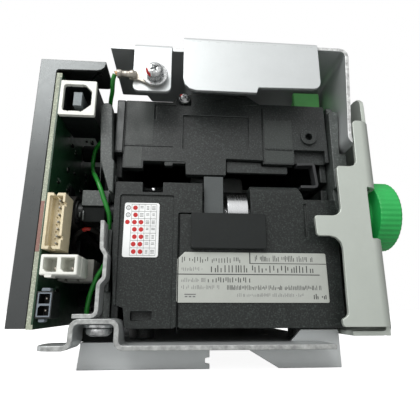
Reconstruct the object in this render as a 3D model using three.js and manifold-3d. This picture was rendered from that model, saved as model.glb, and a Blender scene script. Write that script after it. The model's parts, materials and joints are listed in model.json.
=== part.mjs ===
// Motorised card reader module for a cash machine, millimetres, +Z up.
// X runs to the right as seen from behind, Y runs from the rear plane towards the card mouth.
import * as THREE from 'three';
import { mergeVertices } from 'three/addons/utils/BufferGeometryUtils.js';
import Module from 'manifold-3d';

const wasm = await Module();
wasm.setup();

// ---------------------------------------------------------------- driving dimensions
const sheet = 1.3;                 // thickness of the bracket sheet
const gap = 0.3;                   // clearance between separate pieces
const trayTop = 7.3;               // top of the base tray and of the cross rail
const bodyBottom = 11.1;           // underside of the lower unit
const cardBottom = 54.6;           // underside of a card in the track
const cardThickness = 0.8;
const cardCentre = 13.3;           // centre line of the track across the unit
const cardWidth = 54;
const lowerDeckTop = 53.9;
const upperDeckBottom = 56.4;
const coverFace = 6;               // rear face of the lower covers
const housingRear = 11.3;          // rear end of both housings
const housingFront = 170;
const lowerLeft = -19.8;
const lowerRight = 47.3;
const upperLeft = -21.3;
const upperRight = 47.5;
const upperTop = 82;
const frontPlateRear = 172;
const throatFront = 190;
const coverLeft = -43.7;           // outer face of the board cover
const coverTop = 90.1;
const boardLeft = -38.6;
const boardRight = -36.9;          // component face of the control board
const inputAxis = { y: 12, z: 45.2 };
const driveSpacing = [40, 95, 150];
const tyreRadius = cardBottom - inputAxis.z;
const pinchRadius = 6;
const pinchHeight = cardBottom + cardThickness + pinchRadius;
const shaftRadius = 2.5;
const pulleyRadius = 3.4;
const beltLeft = -34.9;
const beltRight = -31.9;
const motorAxis = { y: 67.5, z: 43.5 };
const motorPulleyRadius = 1.7;
const wallRight = 58.6;            // outer face of the right bracket
const knobRadius = 11;
const knobFace = 66;
const knobStart = 58.9;            // inner face of the knob's disc
const mainPlateTop = 99.7;         // raised part of the top bracket
const leftPlateTop = 96.3;         // lower part of the top bracket

// ---------------------------------------------------------------- geometry helpers
function toSolid(geometry) {
  const bare = geometry.clone();
  bare.deleteAttribute('normal');
  bare.deleteAttribute('uv');
  const merged = mergeVertices(bare, 1e-4);
  const position = merged.attributes.position;
  const index = Array.from(merged.index.array);
  const kept = [];
  let volume = 0;
  const corner = [new THREE.Vector3(), new THREE.Vector3(), new THREE.Vector3()];
  for (let i = 0; i < index.length; i += 3) {
    const [a, b, c] = [index[i], index[i + 1], index[i + 2]];
    if (a === b || b === c || c === a) continue;
    kept.push(a, b, c);
    corner[0].fromBufferAttribute(position, a);
    corner[1].fromBufferAttribute(position, b);
    corner[2].fromBufferAttribute(position, c);
    volume += corner[0].dot(corner[1].clone().cross(corner[2])) / 6;
  }
  if (volume < 0) {
    for (let i = 0; i < kept.length; i += 3) {
      [kept[i + 1], kept[i + 2]] = [kept[i + 2], kept[i + 1]];
    }
  }
  return new wasm.Manifold(new wasm.Mesh({
    numProp: 3,
    vertProperties: Float32Array.from(position.array),
    triVerts: Uint32Array.from(kept),
  }));
}

function toGeometry(solid) {
  const mesh = solid.getMesh();
  const geometry = new THREE.BufferGeometry();
  geometry.setAttribute('position', new THREE.BufferAttribute(new Float32Array(mesh.vertProperties), 3));
  geometry.setIndex(Array.from(mesh.triVerts));
  geometry.computeVertexNormals();
  return geometry;
}

function join(...solids) {
  return solids.reduce((whole, piece) => whole.add(piece));
}

function cut(solid, ...tools) {
  return tools.reduce((whole, tool) => whole.subtract(tool), solid);
}

function block(x0, x1, y0, y1, z0, z1) {
  const box = new THREE.BoxGeometry(x1 - x0, y1 - y0, z1 - z0);
  box.translate((x0 + x1) / 2, (y0 + y1) / 2, (z0 + z1) / 2);
  return toSolid(box);
}

// Corners are [a, b, fillet radius]; the result is a closed list of points.
function outline(corners, steps = 3, closed = true) {
  const points = [];
  corners.forEach(([a, b, radius = 0], i) => {
    const here = new THREE.Vector2(a, b);
    const isEnd = !closed && (i === 0 || i === corners.length - 1);
    if (radius <= 0 || isEnd) {
      points.push(here);
      return;
    }
    const before = corners[(i + corners.length - 1) % corners.length];
    const after = corners[(i + 1) % corners.length];
    const back = new THREE.Vector2(before[0], before[1]).sub(here).normalize();
    const ahead = new THREE.Vector2(after[0], after[1]).sub(here).normalize();
    const half = Math.acos(THREE.MathUtils.clamp(back.dot(ahead), -1, 1)) / 2;
    const reach = radius / Math.tan(half);
    const middle = back.clone().add(ahead).normalize().multiplyScalar(radius / Math.sin(half)).add(here);
    const start = back.clone().multiplyScalar(reach).add(here).sub(middle);
    const end = ahead.clone().multiplyScalar(reach).add(here).sub(middle);
    let sweep = end.angle() - start.angle();
    if (sweep > Math.PI) sweep -= 2 * Math.PI;
    if (sweep < -Math.PI) sweep += 2 * Math.PI;
    for (let k = 0; k <= steps; k += 1) {
      const angle = start.angle() + sweep * k / steps;
      points.push(new THREE.Vector2(Math.cos(angle), Math.sin(angle)).multiplyScalar(radius).add(middle));
    }
  });
  return points;
}

// Closed outline of a bent sheet: the path is one face, the sheet lies on its right-hand side.
function bentSheet(path, thickness = sheet, insideRadius = 1.1) {
  const points = path.map(([a, b]) => new THREE.Vector2(a, b));
  const last = points.length - 1;
  const normal = (i) => {
    const along = points[i + 1].clone().sub(points[i]).normalize();
    return new THREE.Vector2(along.y, -along.x);
  };
  const face = [];
  const backFace = [];
  points.forEach((point, i) => {
    const n0 = normal(Math.max(i - 1, 0));
    const n1 = normal(Math.min(i, last - 1));
    const mean = n0.clone().add(n1).normalize();
    const offset = mean.multiplyScalar(thickness / mean.dot(n0));
    const isBend = i > 0 && i < last;
    const turnsLeft = isBend && n0.x * n1.y - n0.y * n1.x > 0;
    const inner = isBend ? insideRadius : 0;
    const outer = isBend ? insideRadius + thickness : 0;
    face.push([point.x, point.y, turnsLeft ? inner : outer]);
    backFace.push([point.x + offset.x, point.y + offset.y, turnsLeft ? outer : inner]);
  });
  return [...outline(face, 3, false), ...outline(backFace, 3, false).reverse()];
}

function extrude(points, depth, holes = []) {
  const shape = new THREE.Shape(points);
  holes.forEach((hole) => shape.holes.push(new THREE.Path(hole)));
  return new THREE.ExtrudeGeometry(shape, { depth, bevelEnabled: false });
}

// Outline in X and Z, pushed along Y.
function slabY(points, y0, y1, holes = []) {
  const geometry = extrude(points, y1 - y0, holes);
  geometry.rotateX(Math.PI / 2);
  geometry.translate(0, y1, 0);
  return toSolid(geometry);
}

// Outline in Y and Z, pushed along X.
function slabX(points, x0, x1, holes = []) {
  const geometry = extrude(points, x1 - x0, holes);
  const cycle = new THREE.Matrix4().set(0, 0, 1, x0, 1, 0, 0, 0, 0, 1, 0, 0, 0, 0, 0, 1);
  geometry.applyMatrix4(cycle);
  return toSolid(geometry);
}

// Outline in X and Y, pushed along Z.
function slabZ(points, z0, z1, holes = []) {
  const geometry = extrude(points, z1 - z0, holes);
  geometry.translate(0, 0, z0);
  return toSolid(geometry);
}

// Profile points are [radius, position along the axis], from the axis back to the axis.
function turned(profile, sides = 28) {
  return new THREE.LatheGeometry(profile.map(([r, a]) => new THREE.Vector2(r, a)), sides);
}

function turnedX(profile, y, z, sides) {
  const geometry = turned(profile, sides);
  geometry.rotateZ(-Math.PI / 2);
  geometry.translate(0, y, z);
  return toSolid(geometry);
}

function turnedY(profile, x, z, sides) {
  const geometry = turned(profile, sides);
  geometry.translate(x, 0, z);
  return toSolid(geometry);
}

function turnedZ(profile, x, y, sides) {
  const geometry = turned(profile, sides);
  geometry.rotateX(Math.PI / 2);
  geometry.translate(x, y, 0);
  return toSolid(geometry);
}

function rod(radius, from, to) {
  return [[0, from], [radius, from], [radius, to], [0, to]];
}

const rodX = (radius, x0, x1, y, z, sides = 20) => turnedX(rod(radius, x0, x1), y, z, sides);
const rodY = (radius, y0, y1, x, z, sides = 20) => turnedY(rod(radius, y0, y1), x, z, sides);
const rodZ = (radius, z0, z1, x, y, sides = 20) => turnedZ(rod(radius, z0, z1), x, y, sides);

function lead(points, radius, steps, sides = 8) {
  const path = new THREE.CatmullRomCurve3(points.map((p) => new THREE.Vector3(...p)), false, 'centripetal');
  const ring = [];
  for (let i = 0; i < sides; i += 1) {
    const angle = 2 * Math.PI * i / sides;
    ring.push(new THREE.Vector2(Math.cos(angle), Math.sin(angle)).multiplyScalar(radius));
  }
  const options = { steps, bevelEnabled: false, extrudePath: path };
  return toSolid(new THREE.ExtrudeGeometry(new THREE.Shape(ring), options));
}

// ---------------------------------------------------------------- scene
const looks = {
  zinc: [0xc9cccd, 0.34, 0.9],
  greyZinc: [0xaeb3ae, 0.45, 0.7],
  steel: [0xb9bcbe, 0.25, 1],
  tin: [0xb5ad98, 0.4, 0.9],
  black: [0x1d2020, 0.62, 0],
  coverBlack: [0x17191c, 0.38, 0.2],
  darkGrey: [0x3a3d3f, 0.6, 0],
  midGrey: [0x8a8d8d, 0.5, 0],
  board: [0x1f4a33, 0.5, 0],
  white: [0xe4e4de, 0.45, 0],
  beige: [0xb9ad8c, 0.55, 0],
  green: [0x23a84c, 0.4, 0],
  wireGreen: [0x14601f, 0.5, 0],
  red: [0xa82a22, 0.5, 0],
  silverLabel: [0xc4c6c4, 0.5, 0.2],
  rubber: [0x26231f, 0.85, 0],
};

const unit = new THREE.Group();
const reader = new THREE.Group();
reader.add(unit);

function add(name, solid, look) {
  const [color, roughness, metalness] = looks[look];
  const mesh = new THREE.Mesh(toGeometry(solid), new THREE.MeshStandardMaterial({ color, roughness,
    metalness }));
  mesh.name = name;
  unit.add(mesh);
}

// ---------------------------------------------------------------- base tray
// Flat tray under the unit with two skirt pieces at the rear and one at the front.
const traySlots = [[-18, 40], [34, 40], [-18, 140], [34, 140]].map(([x, y]) => outline([
  [x - 5, y - 1.8, 1.7], [x + 5, y - 1.8, 1.7], [x + 5, y + 1.8, 1.7], [x - 5, y + 1.8, 1.7]]));
const trayRear = 11;
const trayFront = 172;
const trayRight = 47;
const trayPlate = slabZ(outline([[-27.5, trayRear], [trayRight, trayRear], [trayRight, trayFront],
  [-27.5, trayFront]]), trayTop - sheet, trayTop, traySlots);
const skirtLeft = slabY(outline([[-28, 0], [8.7, 0], [8.7, 1.3], [7.4, 1.5, 0.4], [7.4, 2.9, 0.4], [8.7,
  3.1],
  [8.7, trayTop], [-26.2, trayTop, 0.5], [-27.5, 6]]), trayRear, trayRear + sheet);
const skirtRight = slabY(outline([[28.6, 0], [trayRight + 0.1, 0], [trayRight, 10.6, 0.6], [35.5, 10.6,
  0.6],
  [32.4, trayTop], [16.4, trayTop], [17.6, 6.4]]), trayRear, trayRear + sheet);
const skirtFront = slabY(outline([[-27.5, 0, 2], [trayRight, 0, 2], [trayRight, trayTop], [-27.5,
  trayTop]]),
  trayFront - sheet, trayFront);
add('base_tray', join(trayPlate, skirtLeft, skirtRight, skirtFront), 'zinc');

// Cross rail behind the tray: one strip with a raised hat that carries the side link.
const hatTop = 13.8;
const hatCentre = -22.2;
const hatScrewY = 5.3;
const railPath = [[-36.2, trayTop], [-28.2, trayTop], [-28.2, hatTop], [-15.4, hatTop], [-15.4, trayTop],
  [41.7, trayTop]];
const railPlan = slabZ(outline([[-36.2, 0, 3.4], [41.7, 0], [41.7, 10.6], [-36.2, 10.6, 3.4]]), 0, 20);
const rail = slabY(bentSheet(railPath), 0, 10.6).intersect(railPlan);
add('cross_rail', cut(rail, rodZ(1.9, 11, 15, hatCentre, hatScrewY, 14)), 'zinc');
add('hat_screw', turnedZ([[0, -9.3], [1.9, -9.3], [2.9, -10], [2.9, -11.5], [3.55, -11.5], [3.55, -12.3],
  [1.5, -12.3], [1.5, -13.6], [0, -13.6]].map(([r, z]) => [r, -z]), hatCentre, hatScrewY, 20), 'steel');

// Side link: a thin bent strip standing on the hat, seen edge-on from behind.
const linkPath = [[-28, 15], [-22.4, 15], [-22.4, 23], [-21, 24.6], [-21, 30.4], [-22.2, 32.4], [-22.5,
  40.2]];
add('side_link', slabY(bentSheet(linkPath, 1.1, 0.9), 1.6, 7.6), 'zinc');

// ---------------------------------------------------------------- right bracket
// Rear plate and long side wall in one bent sheet, with an inward bottom flange.
const wallEnd = 152;
const rearAndWall = slabZ(bentSheet([[wallRight, wallEnd], [wallRight, 0], [36, 0]], sheet,
  2.3), 9.2, 84.3);
const wallAndFlange = slabY(bentSheet([[47.5, 9.2], [wallRight, 9.2], [wallRight, 40]].reverse()), 2.4,
  wallEnd);
const plateOutline = outline([[62, 73.4], [52.6, 73.4, 1.2], [52.4, 58, 2], [46.1, 58, 1], [46.3, 42.5,
  2.5],
  [38.3, 42.5, 0.8], [38.6, 36.5, 0.8], [45.9, 36.5, 3.5], [45.7, 14.6, 1.5], [43.9, 13.6, 0.6],
  [43.9, 11.6, 0.8], [62, 11.6]]);
const rearZone = block(30, 62, -1, 2.4, 5, 90);
const plateZone = slabY(plateOutline, -2, 3);
const wallOutline = outline([[2.3, 8], [2.3, 84.3, 5], [70, 84.3, 3], [78, 70, 3], [120, 70, 3],
  [128, 62, 3], [wallEnd, 62, 3], [wallEnd, 8, 3]]);
const wallZone = slabX(wallOutline, 30, 62);
const knobOpening = slabX(outline([[-2, 36], [20, 36, 3], [20, 51.4, 3], [-2, 51.4]]), 54.9, 60);
const sideSlots = [[35, 66], [110, 58], [35, 22], [110, 22]].map(([y, z]) => slabX(outline([
  [y - 6, z - 2.2, 2.1], [y + 6, z - 2.2, 2.1], [y + 6, z + 2.2, 2.1], [y - 6, z + 2.2, 2.1]]), 54, 60));
const shapedRear = rearAndWall.intersect(rearZone).intersect(plateZone);
const shapedWall = join(rearAndWall.subtract(rearZone), wallAndFlange).intersect(wallZone);
add('right_bracket', cut(join(shapedRear, shapedWall), knobOpening, ...sideSlots), 'greyZinc');

// ---------------------------------------------------------------- top bracket
// Stepped plate with a leaning drop wall on the right, a long flap and the earth tab behind.
const topPath = [[-23.2, leftPlateTop], [-0.2, leftPlateTop], [2.6, mainPlateTop], [54, mainPlateTop],
  [51.9, 67.2], [53.2, 66.4]];
const topPlan = outline([[-24, 0], [-24, 26, 1.5], [-14, 26], [-12.5, 30, 1], [4, 30], [8, 62, 3], [56,
  62, 3],
  [56, 0]]);
const topPlate = slabY(bentSheet(topPath, 1.2, 1.6), 0, 62).intersect(slabZ(topPlan, 60, 110));
const wallRelief = slabX(outline([[22, 60], [22, 80, 3], [70, 80], [70, 60]]), 45, 60);
const flapSheet = slabX(bentSheet([[6, mainPlateTop], [-2.2, mainPlateTop], [-2.2, 78]].reverse(), 1.2,
  0.8),
  -0.4, 42.6);
const flapOutline = outline([[-0.4, 105], [-0.4, 80.2, 4], [22.2, 80.2], [22.8, 82.1], [42.6, 82.6, 2.4],
  [42.6, 105]]);
const flap = flapSheet.intersect(slabY(flapOutline, -5, 10));
const tabSheet = slabX(bentSheet([[6, leftPlateTop], [-2.1, leftPlateTop], [-2.1, 78]].reverse(), 1.2, 0.8),
  -15.5, -4);
const tabOutline = outline([[-15.5, 105], [-15.5, 85, 0.3], [-12.6, 84.6, 0.3], [-12.6, 83.1, 0.4],
  [-15.4, 82.6, 1.1], [-15.4, 79.3, 1.6], [-4, 79.3, 1.7], [-4, 105]]);
const tab = tabSheet.intersect(slabY(tabOutline, -5, 10));
const hookRoom = block(52.2, 60, -1, 1.7, 60, 74);
const earthX = -8.8;
const earthZ = 84.1;
const topBracket = cut(join(topPlate, flap, tab), wallRelief, hookRoom,
  rodY(1.8, -4, 1, earthX, earthZ, 14));
add('top_bracket', topBracket, 'zinc');

// Earth connection: ring terminal under a flat washer, a spring washer and a pan head.
const tabFace = -2.15;
add('earth_screw', turnedY([[0, tabFace - 4.6], [1.5, tabFace - 4.6], [2.5, tabFace - 3.9],
  [2.5, tabFace - 2.9], [2.1, tabFace - 2.7], [2.75, tabFace - 2.6], [2.75, tabFace - 1.7],
  [3.8, tabFace - 1.7], [3.8, tabFace - 1.05], [1.5, tabFace - 1.05], [1.5, 2], [0, 2]],
  earthX, earthZ, 24), 'steel');
const ringPlate = slabY(outline([[-15.6, 82.3], [-12, 81.7], [-8.8, 80.7, 2.6], [-5.4, 84.1, 2.6], [-8.8,
  87.5, 2.6],
  [-12, 85.5], [-15.6, 85.1]]), tabFace - 0.9, tabFace - 0.1, [outline([[-10.6, 82.3, 1.7], [-7, 82.3, 1.7],
  [-7, 85.9, 1.7], [-10.6, 85.9, 1.7]])]);
const crimp = rodX(1.55, -19.8, -14.9, tabFace - 1.3, 83.7, 14);
add('ring_terminal', join(ringPlate, crimp), 'tin');
const earthRoute = [[-20.6, tabFace - 1.3, 83.5], [-21.1, -2.7, 82.4], [-21.5, -1, 81.4], [-22.1, 2, 80.8],
  [-23.2, 6, 80.6], [-24, 9.6, 79.8], [-24.1, 11, 76.5], [-24.6, 11.2, 72.5], [-26.4, 12.4, 69.4],
  [-28.9, 15.4, 67.2], [-29.9, 17.6, 63.6], [-29, 15.4, 59.4], [-27.2, 10, 56.6], [-25.5, 7, 53.6],
  [-24.4, 6, 51.3], [-22.9, 6, 47.4], [-21.8, 6.5, 44.6], [-21.4, 7.8, 42.8], [-21.5, 9.6, 40.4], [-21.8,
    10.6, 36.5],
  [-21.9, 10.6, 31], [-22.7, 11, 28.4], [-24.4, 11.2, 25.3], [-25.9, 11.5, 21], [-26.5, 11.9, 18],
  [-26.8, 12.6, 14.6], [-26.7, 12.9, 11], [-26.6, 13, 7.6]];
add('earth_wire', lead(earthRoute, 0.65, 48), 'wireGreen');

// ---------------------------------------------------------------- board cover and control board
const coverDepth = 150;
const coverSheet = 1;
const coverBase = 11.4;
const lipWidth = 5;
const coverWall = block(coverLeft, coverLeft + coverSheet, 0, coverDepth, coverBase, coverTop);
const coverShelf = slabZ(outline([[coverLeft, 0], [-24.2, 0], [-24.2, 13.6, 2], [-35.5, 13.6, 1],
  [-35.5, coverDepth], [coverLeft, coverDepth]]), coverTop - coverSheet, coverTop);
const coverLip = slabY(outline([[coverLeft, coverBase], [coverLeft + lipWidth, coverBase],
  [coverLeft + lipWidth, 86.6, 0.8], [-24.2, 86.9, 2.5], [-24.2, coverTop],
  [coverLeft, coverTop]]), 0, coverSheet);
const coverPosts = [[20, 79], [132, 79], [20, 18], [132, 18]].map(([y, z]) => rodX(2.6, coverLeft + 0.4,
  boardLeft - gap, y, z, 14));
add('board_cover', join(coverWall, coverShelf, coverLip, ...coverPosts), 'coverBlack');
add('control_board', block(boardLeft, boardRight, 0.1, 148, 11.2, 85.5), 'board');

const socketRight = -26.3;
const socketHousing = block(boardRight + 0.1, socketRight, -0.5, 15.5, 71.3, 82.7);
const socketOpening = slabY(outline([[-35.4, 72.7], [-30.4, 72.7], [-27.8, 74.6], [-27.8, 78.9], [-30.2,
  81.2],
  [-35.4, 81.2]]), -2, 8.5);
const socketTongue = block(-33.6, -30.8, 0.6, 9, 74.9, 79);
add('usb_socket', join(cut(socketHousing, socketOpening), socketTongue), 'white');

const sensorHeader = cut(block(boardRight + 0.1, -31.9, -0.8, 6.8, 31.6, 47.2),
  block(-36, -32.6, -2, 5.5, 32.5, 46.3), block(-35.2, -33.4, -2, 2.5, 30, 33), block(-35.2, -33.4, -2,
    2.5, 46, 49));
add('sensor_header', sensorHeader, 'beige');
const powerHeader = cut(block(boardRight + 0.1, -27.1, -0.4, 11, 24.8, 30.3),
  block(-36, -32.5, -2, 7, 25.7, 29.4), block(-31.4, -27.9, -2, 7, 25.7, 29.4));
add('power_header', powerHeader, 'white');
const secondHeader = join(block(boardRight + 0.1, -26.4, 15, 25, 24.4, 31), block(-35, -28.2, 14, 16,
  25.6, 29.8));
add('second_header', secondHeader, 'white');
const auxHeader = cut(block(boardRight + 0.1, -32.8, 0.2, 7, 13.9, 20.7), block(-36, -33.5, -2, 4.5, 14.7,
  17),
  block(-36, -33.5, -2, 4.5, 17.6, 19.9));
add('aux_header', auxHeader, 'black');
add('lead_header', block(boardRight + 0.1, -33.4, 24, 31, 33.4, 38.2), 'black');
add('red_lead', lead([[-35, 23.9, 35.8], [-34.4, 20.6, 36.2], [-33.4, 16.8, 37.6], [-31.2, 13.6, 39.1],
  [-28.6, 12.7, 40],
  [-26.3, 14.6, 39.4], [-25.4, 19.4, 37.6], [-25.2, 29, 35], [-25.2, 42, 33.8], [-25, 54, 33.2],
  [-24.4, 61, 33], [-23.3, 64.2, 33]], 0.6, 36), 'red');
add('controller_chip', block(boardRight + 0.1, -35.2, 66, 90, 54, 78), 'black');
add('capacitor', turnedX([[0, boardRight + 0.1], [5, boardRight + 0.1], [5, -27.6], [4.4, -27], [0, -27]],
  46, 68, 24), 'midGrey');

// ---------------------------------------------------------------- clearances used by several pieces
const driveAxes = driveSpacing.map((y) => ({ y, z: inputAxis.z }));
const allAxes = [inputAxis, ...driveAxes];
const shaftBores = allAxes.map(({ y, z }) => rodX(shaftRadius + 0.5, -40, 56, y, z, 16));
const sleeveLeft = 13.8;
const sleeveRight = 20;
const sleeveRadius = 6.2;
const sleeveRoom = rodX(sleeveRadius + 0.5, sleeveLeft - 0.7, sleeveRight + 0.6, inputAxis.y, inputAxis.z,
  28);
const rollerLeft = cardCentre - 10;
const rollerRight = cardCentre + 10;

// ---------------------------------------------------------------- side frames
// The left frame has a cable finger at the rear and posts that carry the control board.
const fingerTop = 78.7;
const leftUpperPlate = slabX(outline([[13.6, 52], [13.6, 59.5], [6.4, 59.5], [6.4, 64], [13.4, 64, 0.6],
  [13.4, 80.6, 1],
  [171.6, 80.6], [171.6, 56], [60, 56], [60, 52]]), -24.8, -21.8);
const finger = slabY(outline([[-24.7, 59.4, 0.3], [-21.6, 49.9], [-20.3, 49.4], [-20.5, 59.4], [-21.1,
  59.9], [-22.3, fingerTop, 1.6],
  [-26, fingerTop, 1.6]]), 4.6, 7.8);
const leftLowerPlate = slabX(outline([[12.4, 13], [12.4, 47], [8, 50], [8, 56], [171.6, 56], [171.6, 13]]),
  -22.3, -20.2);
// A guard bar at the rear keeps the earth wire against the lower plate.
const guardBar = block(-22.4, -20.2, 8, 8.8, 21, 39);
const guardEnds = [block(-22, -20.2, 8, 13, 21, 22.4), block(-20.7, -20.2, 8, 13, 21, 39)];
// The bearing block carries the end of the input shaft; its lower half is set back.
const bearingBlock = join(block(-29.9, -22, 8, 16, 45.9, 51), block(-29.6, -22.9, 8.6, 16, 41.2, 46));
const boardPosts = [[30, 72, -24.9], [135, 72, -24.9], [135, 20, -22.4], [42, 20, -22.4]].map(([y, z,
  x]) => rodX(3,
  boardRight + gap, x + 0.4, y, z, 14));
const motorBore = rodX(1.9, -28, -15, motorAxis.y, motorAxis.z, 14);
const pinchBores = driveSpacing.map((y) => rodX(1.9, -30, 56, y, pinchHeight, 14));
add('left_frame', cut(join(leftUpperPlate, leftLowerPlate, guardBar, finger, bearingBlock, ...guardEnds,
  ...boardPosts), ...shaftBores,
  motorBore), 'black');

const rightPlate = slabX(outline([[8, 82.3, 1], [171.6, 82.3], [171.6, 14], [24, 14], [24, 38], [8, 38,
  2]]),
  47.9, 50);
const rightRib = slabY(outline([[47.9, 53], [47.9, 79.8, 0.8], [51.2, 79.8, 0.8], [50.4, 66.4], [50.4,
  64.6],
  [52.6, 64.6, 0.4], [52.6, 53]]), 6.2, 8.4);
const rightPosts = [[40, 74], [124, 58], [60, 22], [135, 22]].map(([y, z]) => rodX(3.5, 49.6, 57, y, z,
  16));
add('right_frame', cut(join(rightPlate, rightRib, ...rightPosts), ...shaftBores), 'black');

// ---------------------------------------------------------------- lower unit
const lowerBox = block(lowerLeft, lowerRight, housingRear, housingFront, bodyBottom, lowerDeckTop);
const lowerRoom = block(lowerLeft + 2.2, lowerRight - 2.2, housingRear - 1, housingFront - 2.2,
  bodyBottom + 2.2,
  lowerDeckTop - 2);
const tyreSlots = driveSpacing.map((y) => block(rollerLeft - 0.8, rollerRight + 0.8, y - 7.4, y + 7.4, 50,
  56));
const headX = -6;
const headY = 122;
const headSlot = block(headX - 4.6, headX + 4.6, headY - 6.6, headY + 6.6, 50, 56);
const lowerFeet = [[-12, 26], [40, 26], [-12, 156], [40, 156]].map(([x, y]) => rodZ(4, trayTop + 0.05,
  bodyBottom + 0.5, x, y, 16));
const lowerMouth = block(lowerLeft + 2.2, lowerRight - 2.2, 10, 30, 49, 56);
const entryFlare = slabX(outline([[housingFront - 6, lowerDeckTop], [housingFront + 1, lowerDeckTop - 1.6],
  [housingFront + 1, lowerDeckTop + 2], [housingFront - 6, lowerDeckTop + 2]]), lowerLeft - 1,
    lowerRight + 1);
add('lower_housing', cut(join(cut(lowerBox, lowerRoom), ...lowerFeet), ...tyreSlots, headSlot,
  ...shaftBores,
  motorBore, entryFlare, sleeveRoom, lowerMouth), 'black');

// Rear covers of the lower unit; the centre panel stands proud over the input sleeve.
const seamX = -0.9;
const notchLeft = 6.2;
const notchRight = 20.8;
const ledge = 43.7;
const leftCoverOutline = outline([[-20, 53.3, 0.6], [-11.8, 53.3, 0.3], [-11.8, 50.2], [-5.8, 50.2],
  [-5.8, 53.4, 0.3], [notchLeft, 53.4, 0.4], [notchLeft, ledge + 0.2],
  [seamX, ledge + 0.2], [seamX, bodyBottom, 1], [-15, bodyBottom, 0.8], [-15.8, 16.6], [-18.5, 17.4],
    [-19.6, 32.6], [-20, 44]]);
const leftCoverBody = slabY(leftCoverOutline, coverFace, housingRear - gap);
const leftPanelRecess = slabY(outline([[-17.6, 9], [-2.4, 9], [-2.4, 49.2, 0.6], [-18.2, 49.2, 0.6]]),
  coverFace - 1, coverFace + 0.5);
const catchWindow = block(-13.6, -7.8, coverFace - 1, coverFace + 2.4, 13.3, 15.6);
add('lower_left_cover', cut(leftCoverBody, leftPanelRecess, catchWindow, shaftBores[0], sleeveRoom),
  'black');

const rightCoverOutline = outline([[seamX + 0.3, bodyBottom, 1], [47.3, bodyBottom, 0.6], [47.3, 48.9],
  [37.4, 48.9], [36.2, 53.4, 0.4], [notchRight, 53.3, 0.4], [notchRight, ledge - 0.1],
  [seamX + 0.3, ledge - 0.1, 0.4]]);
const rightCoverBody = slabY(rightCoverOutline, coverFace, housingRear - gap);
const centrePanel = slabY(outline([[2.8, 33.1, 0.6], [24.8, 33.1, 0.6], [24.8, ledge - 0.1, 0.6],
  [2.8, ledge - 0.1, 0.6]]), 3.9, coverFace + 0.5);
const blockChamfer = slabX(outline([[coverFace - 1, 49.3], [coverFace + 2.4, 54], [coverFace - 1, 54]]),
  20, 37.6);
const verticalGroove = block(37.2, 38, coverFace - 1, coverFace + 0.5, 37, 47.4);
add('lower_right_cover', cut(join(rightCoverBody, centrePanel), blockChamfer, verticalGroove, shaftBores[0],
  sleeveRoom), 'black');

add('serial_plate', slabY(outline([[-1, 18], [42.9, 18], [42.9, 32.2], [1.1, 32.2], [-1, 30.1]]),
  coverFace - 0.35, coverFace - 0.05), 'silverLabel');
add('setting_label', slabY(outline([[-16.8, 30.6], [-6.6, 30.6], [-6.6, 46.8], [-16.8, 46.8]]),
  coverFace + 0.2, coverFace + 0.45), 'white');
add('sensor_cable', block(6.7, 12.7, 8.2, 8.7, ledge + 0.3, 56.4), 'midGrey');
add('card_clip', slabY(bentSheet([[36.6, 61.6], [42.4, 61.9], [43.3, 53.3], [37.4, 53.2]], 0.9, 0.4), 7.6,
  11),
  'midGrey');

// ---------------------------------------------------------------- upper unit
const upperBox = block(upperLeft, upperRight, housingRear, housingFront, upperDeckBottom, upperTop);
const upperRoom = block(upperLeft + 2.2, upperRight - 2.2, housingRear - 1, housingFront - 2.2,
  upperDeckBottom + 2, upperTop - 2);
const pinchSlots = driveSpacing.map((y) => block(rollerLeft - 0.8, rollerRight + 0.8, y - 5.4, y + 5.4,
  55, 60));
const contactX = cardCentre;
const contactY = 122;
const contactSlot = block(contactX - 7, contactX + 7, contactY - 7, contactY + 7, 55, 60);
const stemBore = rodZ(2.4, 78, 90, contactX, contactY, 16);
const roofRecesses = [[-14, 2], [24, 40]].map(([x0, x1]) => slabZ(outline([[x0, 44, 2], [x1, 44, 2], [x1,
  86, 2],
  [x0, 86, 2]]), upperTop - 0.8, 90));
const roofRibs = [34, 92, 132].map((y) => block(upperLeft + 2, upperRight - 2, y, y + 1.6, upperTop - 0.5,
  upperTop + 1.8));
const leverAxis = { y: 29, z: 88 };
const leverEar = slabX(outline([[25.4, upperTop - 0.5], [25.4, 90.6, 3], [32.6, 90.6, 3], [32.6,
  upperTop - 0.5]]),
  37.6, 40.6);
const leverBore = rodX(1.9, 36, 45, leverAxis.y, leverAxis.z, 16);
const upperMouth = block(upperLeft + 2.2, upperRight - 2.2, 10, 30, 55, 60);
const clipRoom = block(36, 44.2, 10, 11.6, 53, 62.6);
const ribStop = block(34, 47, 33, 36, upperTop, 90);
add('upper_housing', cut(join(cut(upperBox, upperRoom), ...roofRibs, leverEar), ...pinchSlots, contactSlot,
  stemBore, ...roofRecesses, leverBore, ...pinchBores, clipRoom, ribStop, upperMouth), 'black');

const upperFace = 8;
const upperCoverOutline = outline([[-21.4, 81.9, 0.4], [-3.6, 81.9], [-1.6, 85.5, 0.6], [20.7, 85.5, 0.4],
  [25.2, 82.4], [47, 82.4, 0.4], [47.4, 62.2], [36, 62.2], [35.8, 61.1], [25.9, 61.1], [25.6, 62.3],
  [13.7, 62.5], [13.6, 56.9, 0.4], [1, 56.8, 0.4], [0.8, 61], [-12.3, 61], [-12.3, 58.5, 0.3], [-18.7,
    58.5, 0.3],
  [-18.7, 63.6], [-21.4, 63.6, 0.3]]);
const upperCoverBody = slabY(upperCoverOutline, upperFace, housingRear - gap);
const facePanel = slabY(outline([[-0.2, 65.5, 0.4], [21.3, 65.5, 0.4], [21.3, 77.4, 0.4], [-0.2, 77.4,
  0.4]]),
  upperFace - 1, upperFace + 0.7);
const facePocket = block(36, 46.2, upperFace - 1, upperFace + 2, 61, 66.3);
const bossX = 41;
const bossZ = 70.8;
const faceBoss = rodY(2.7, upperFace - 0.9, upperFace + 0.5, bossX, bossZ, 22);
const bossHole = rodY(1.2, upperFace - 2, upperFace + 1.8, bossX, bossZ, 14);
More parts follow.
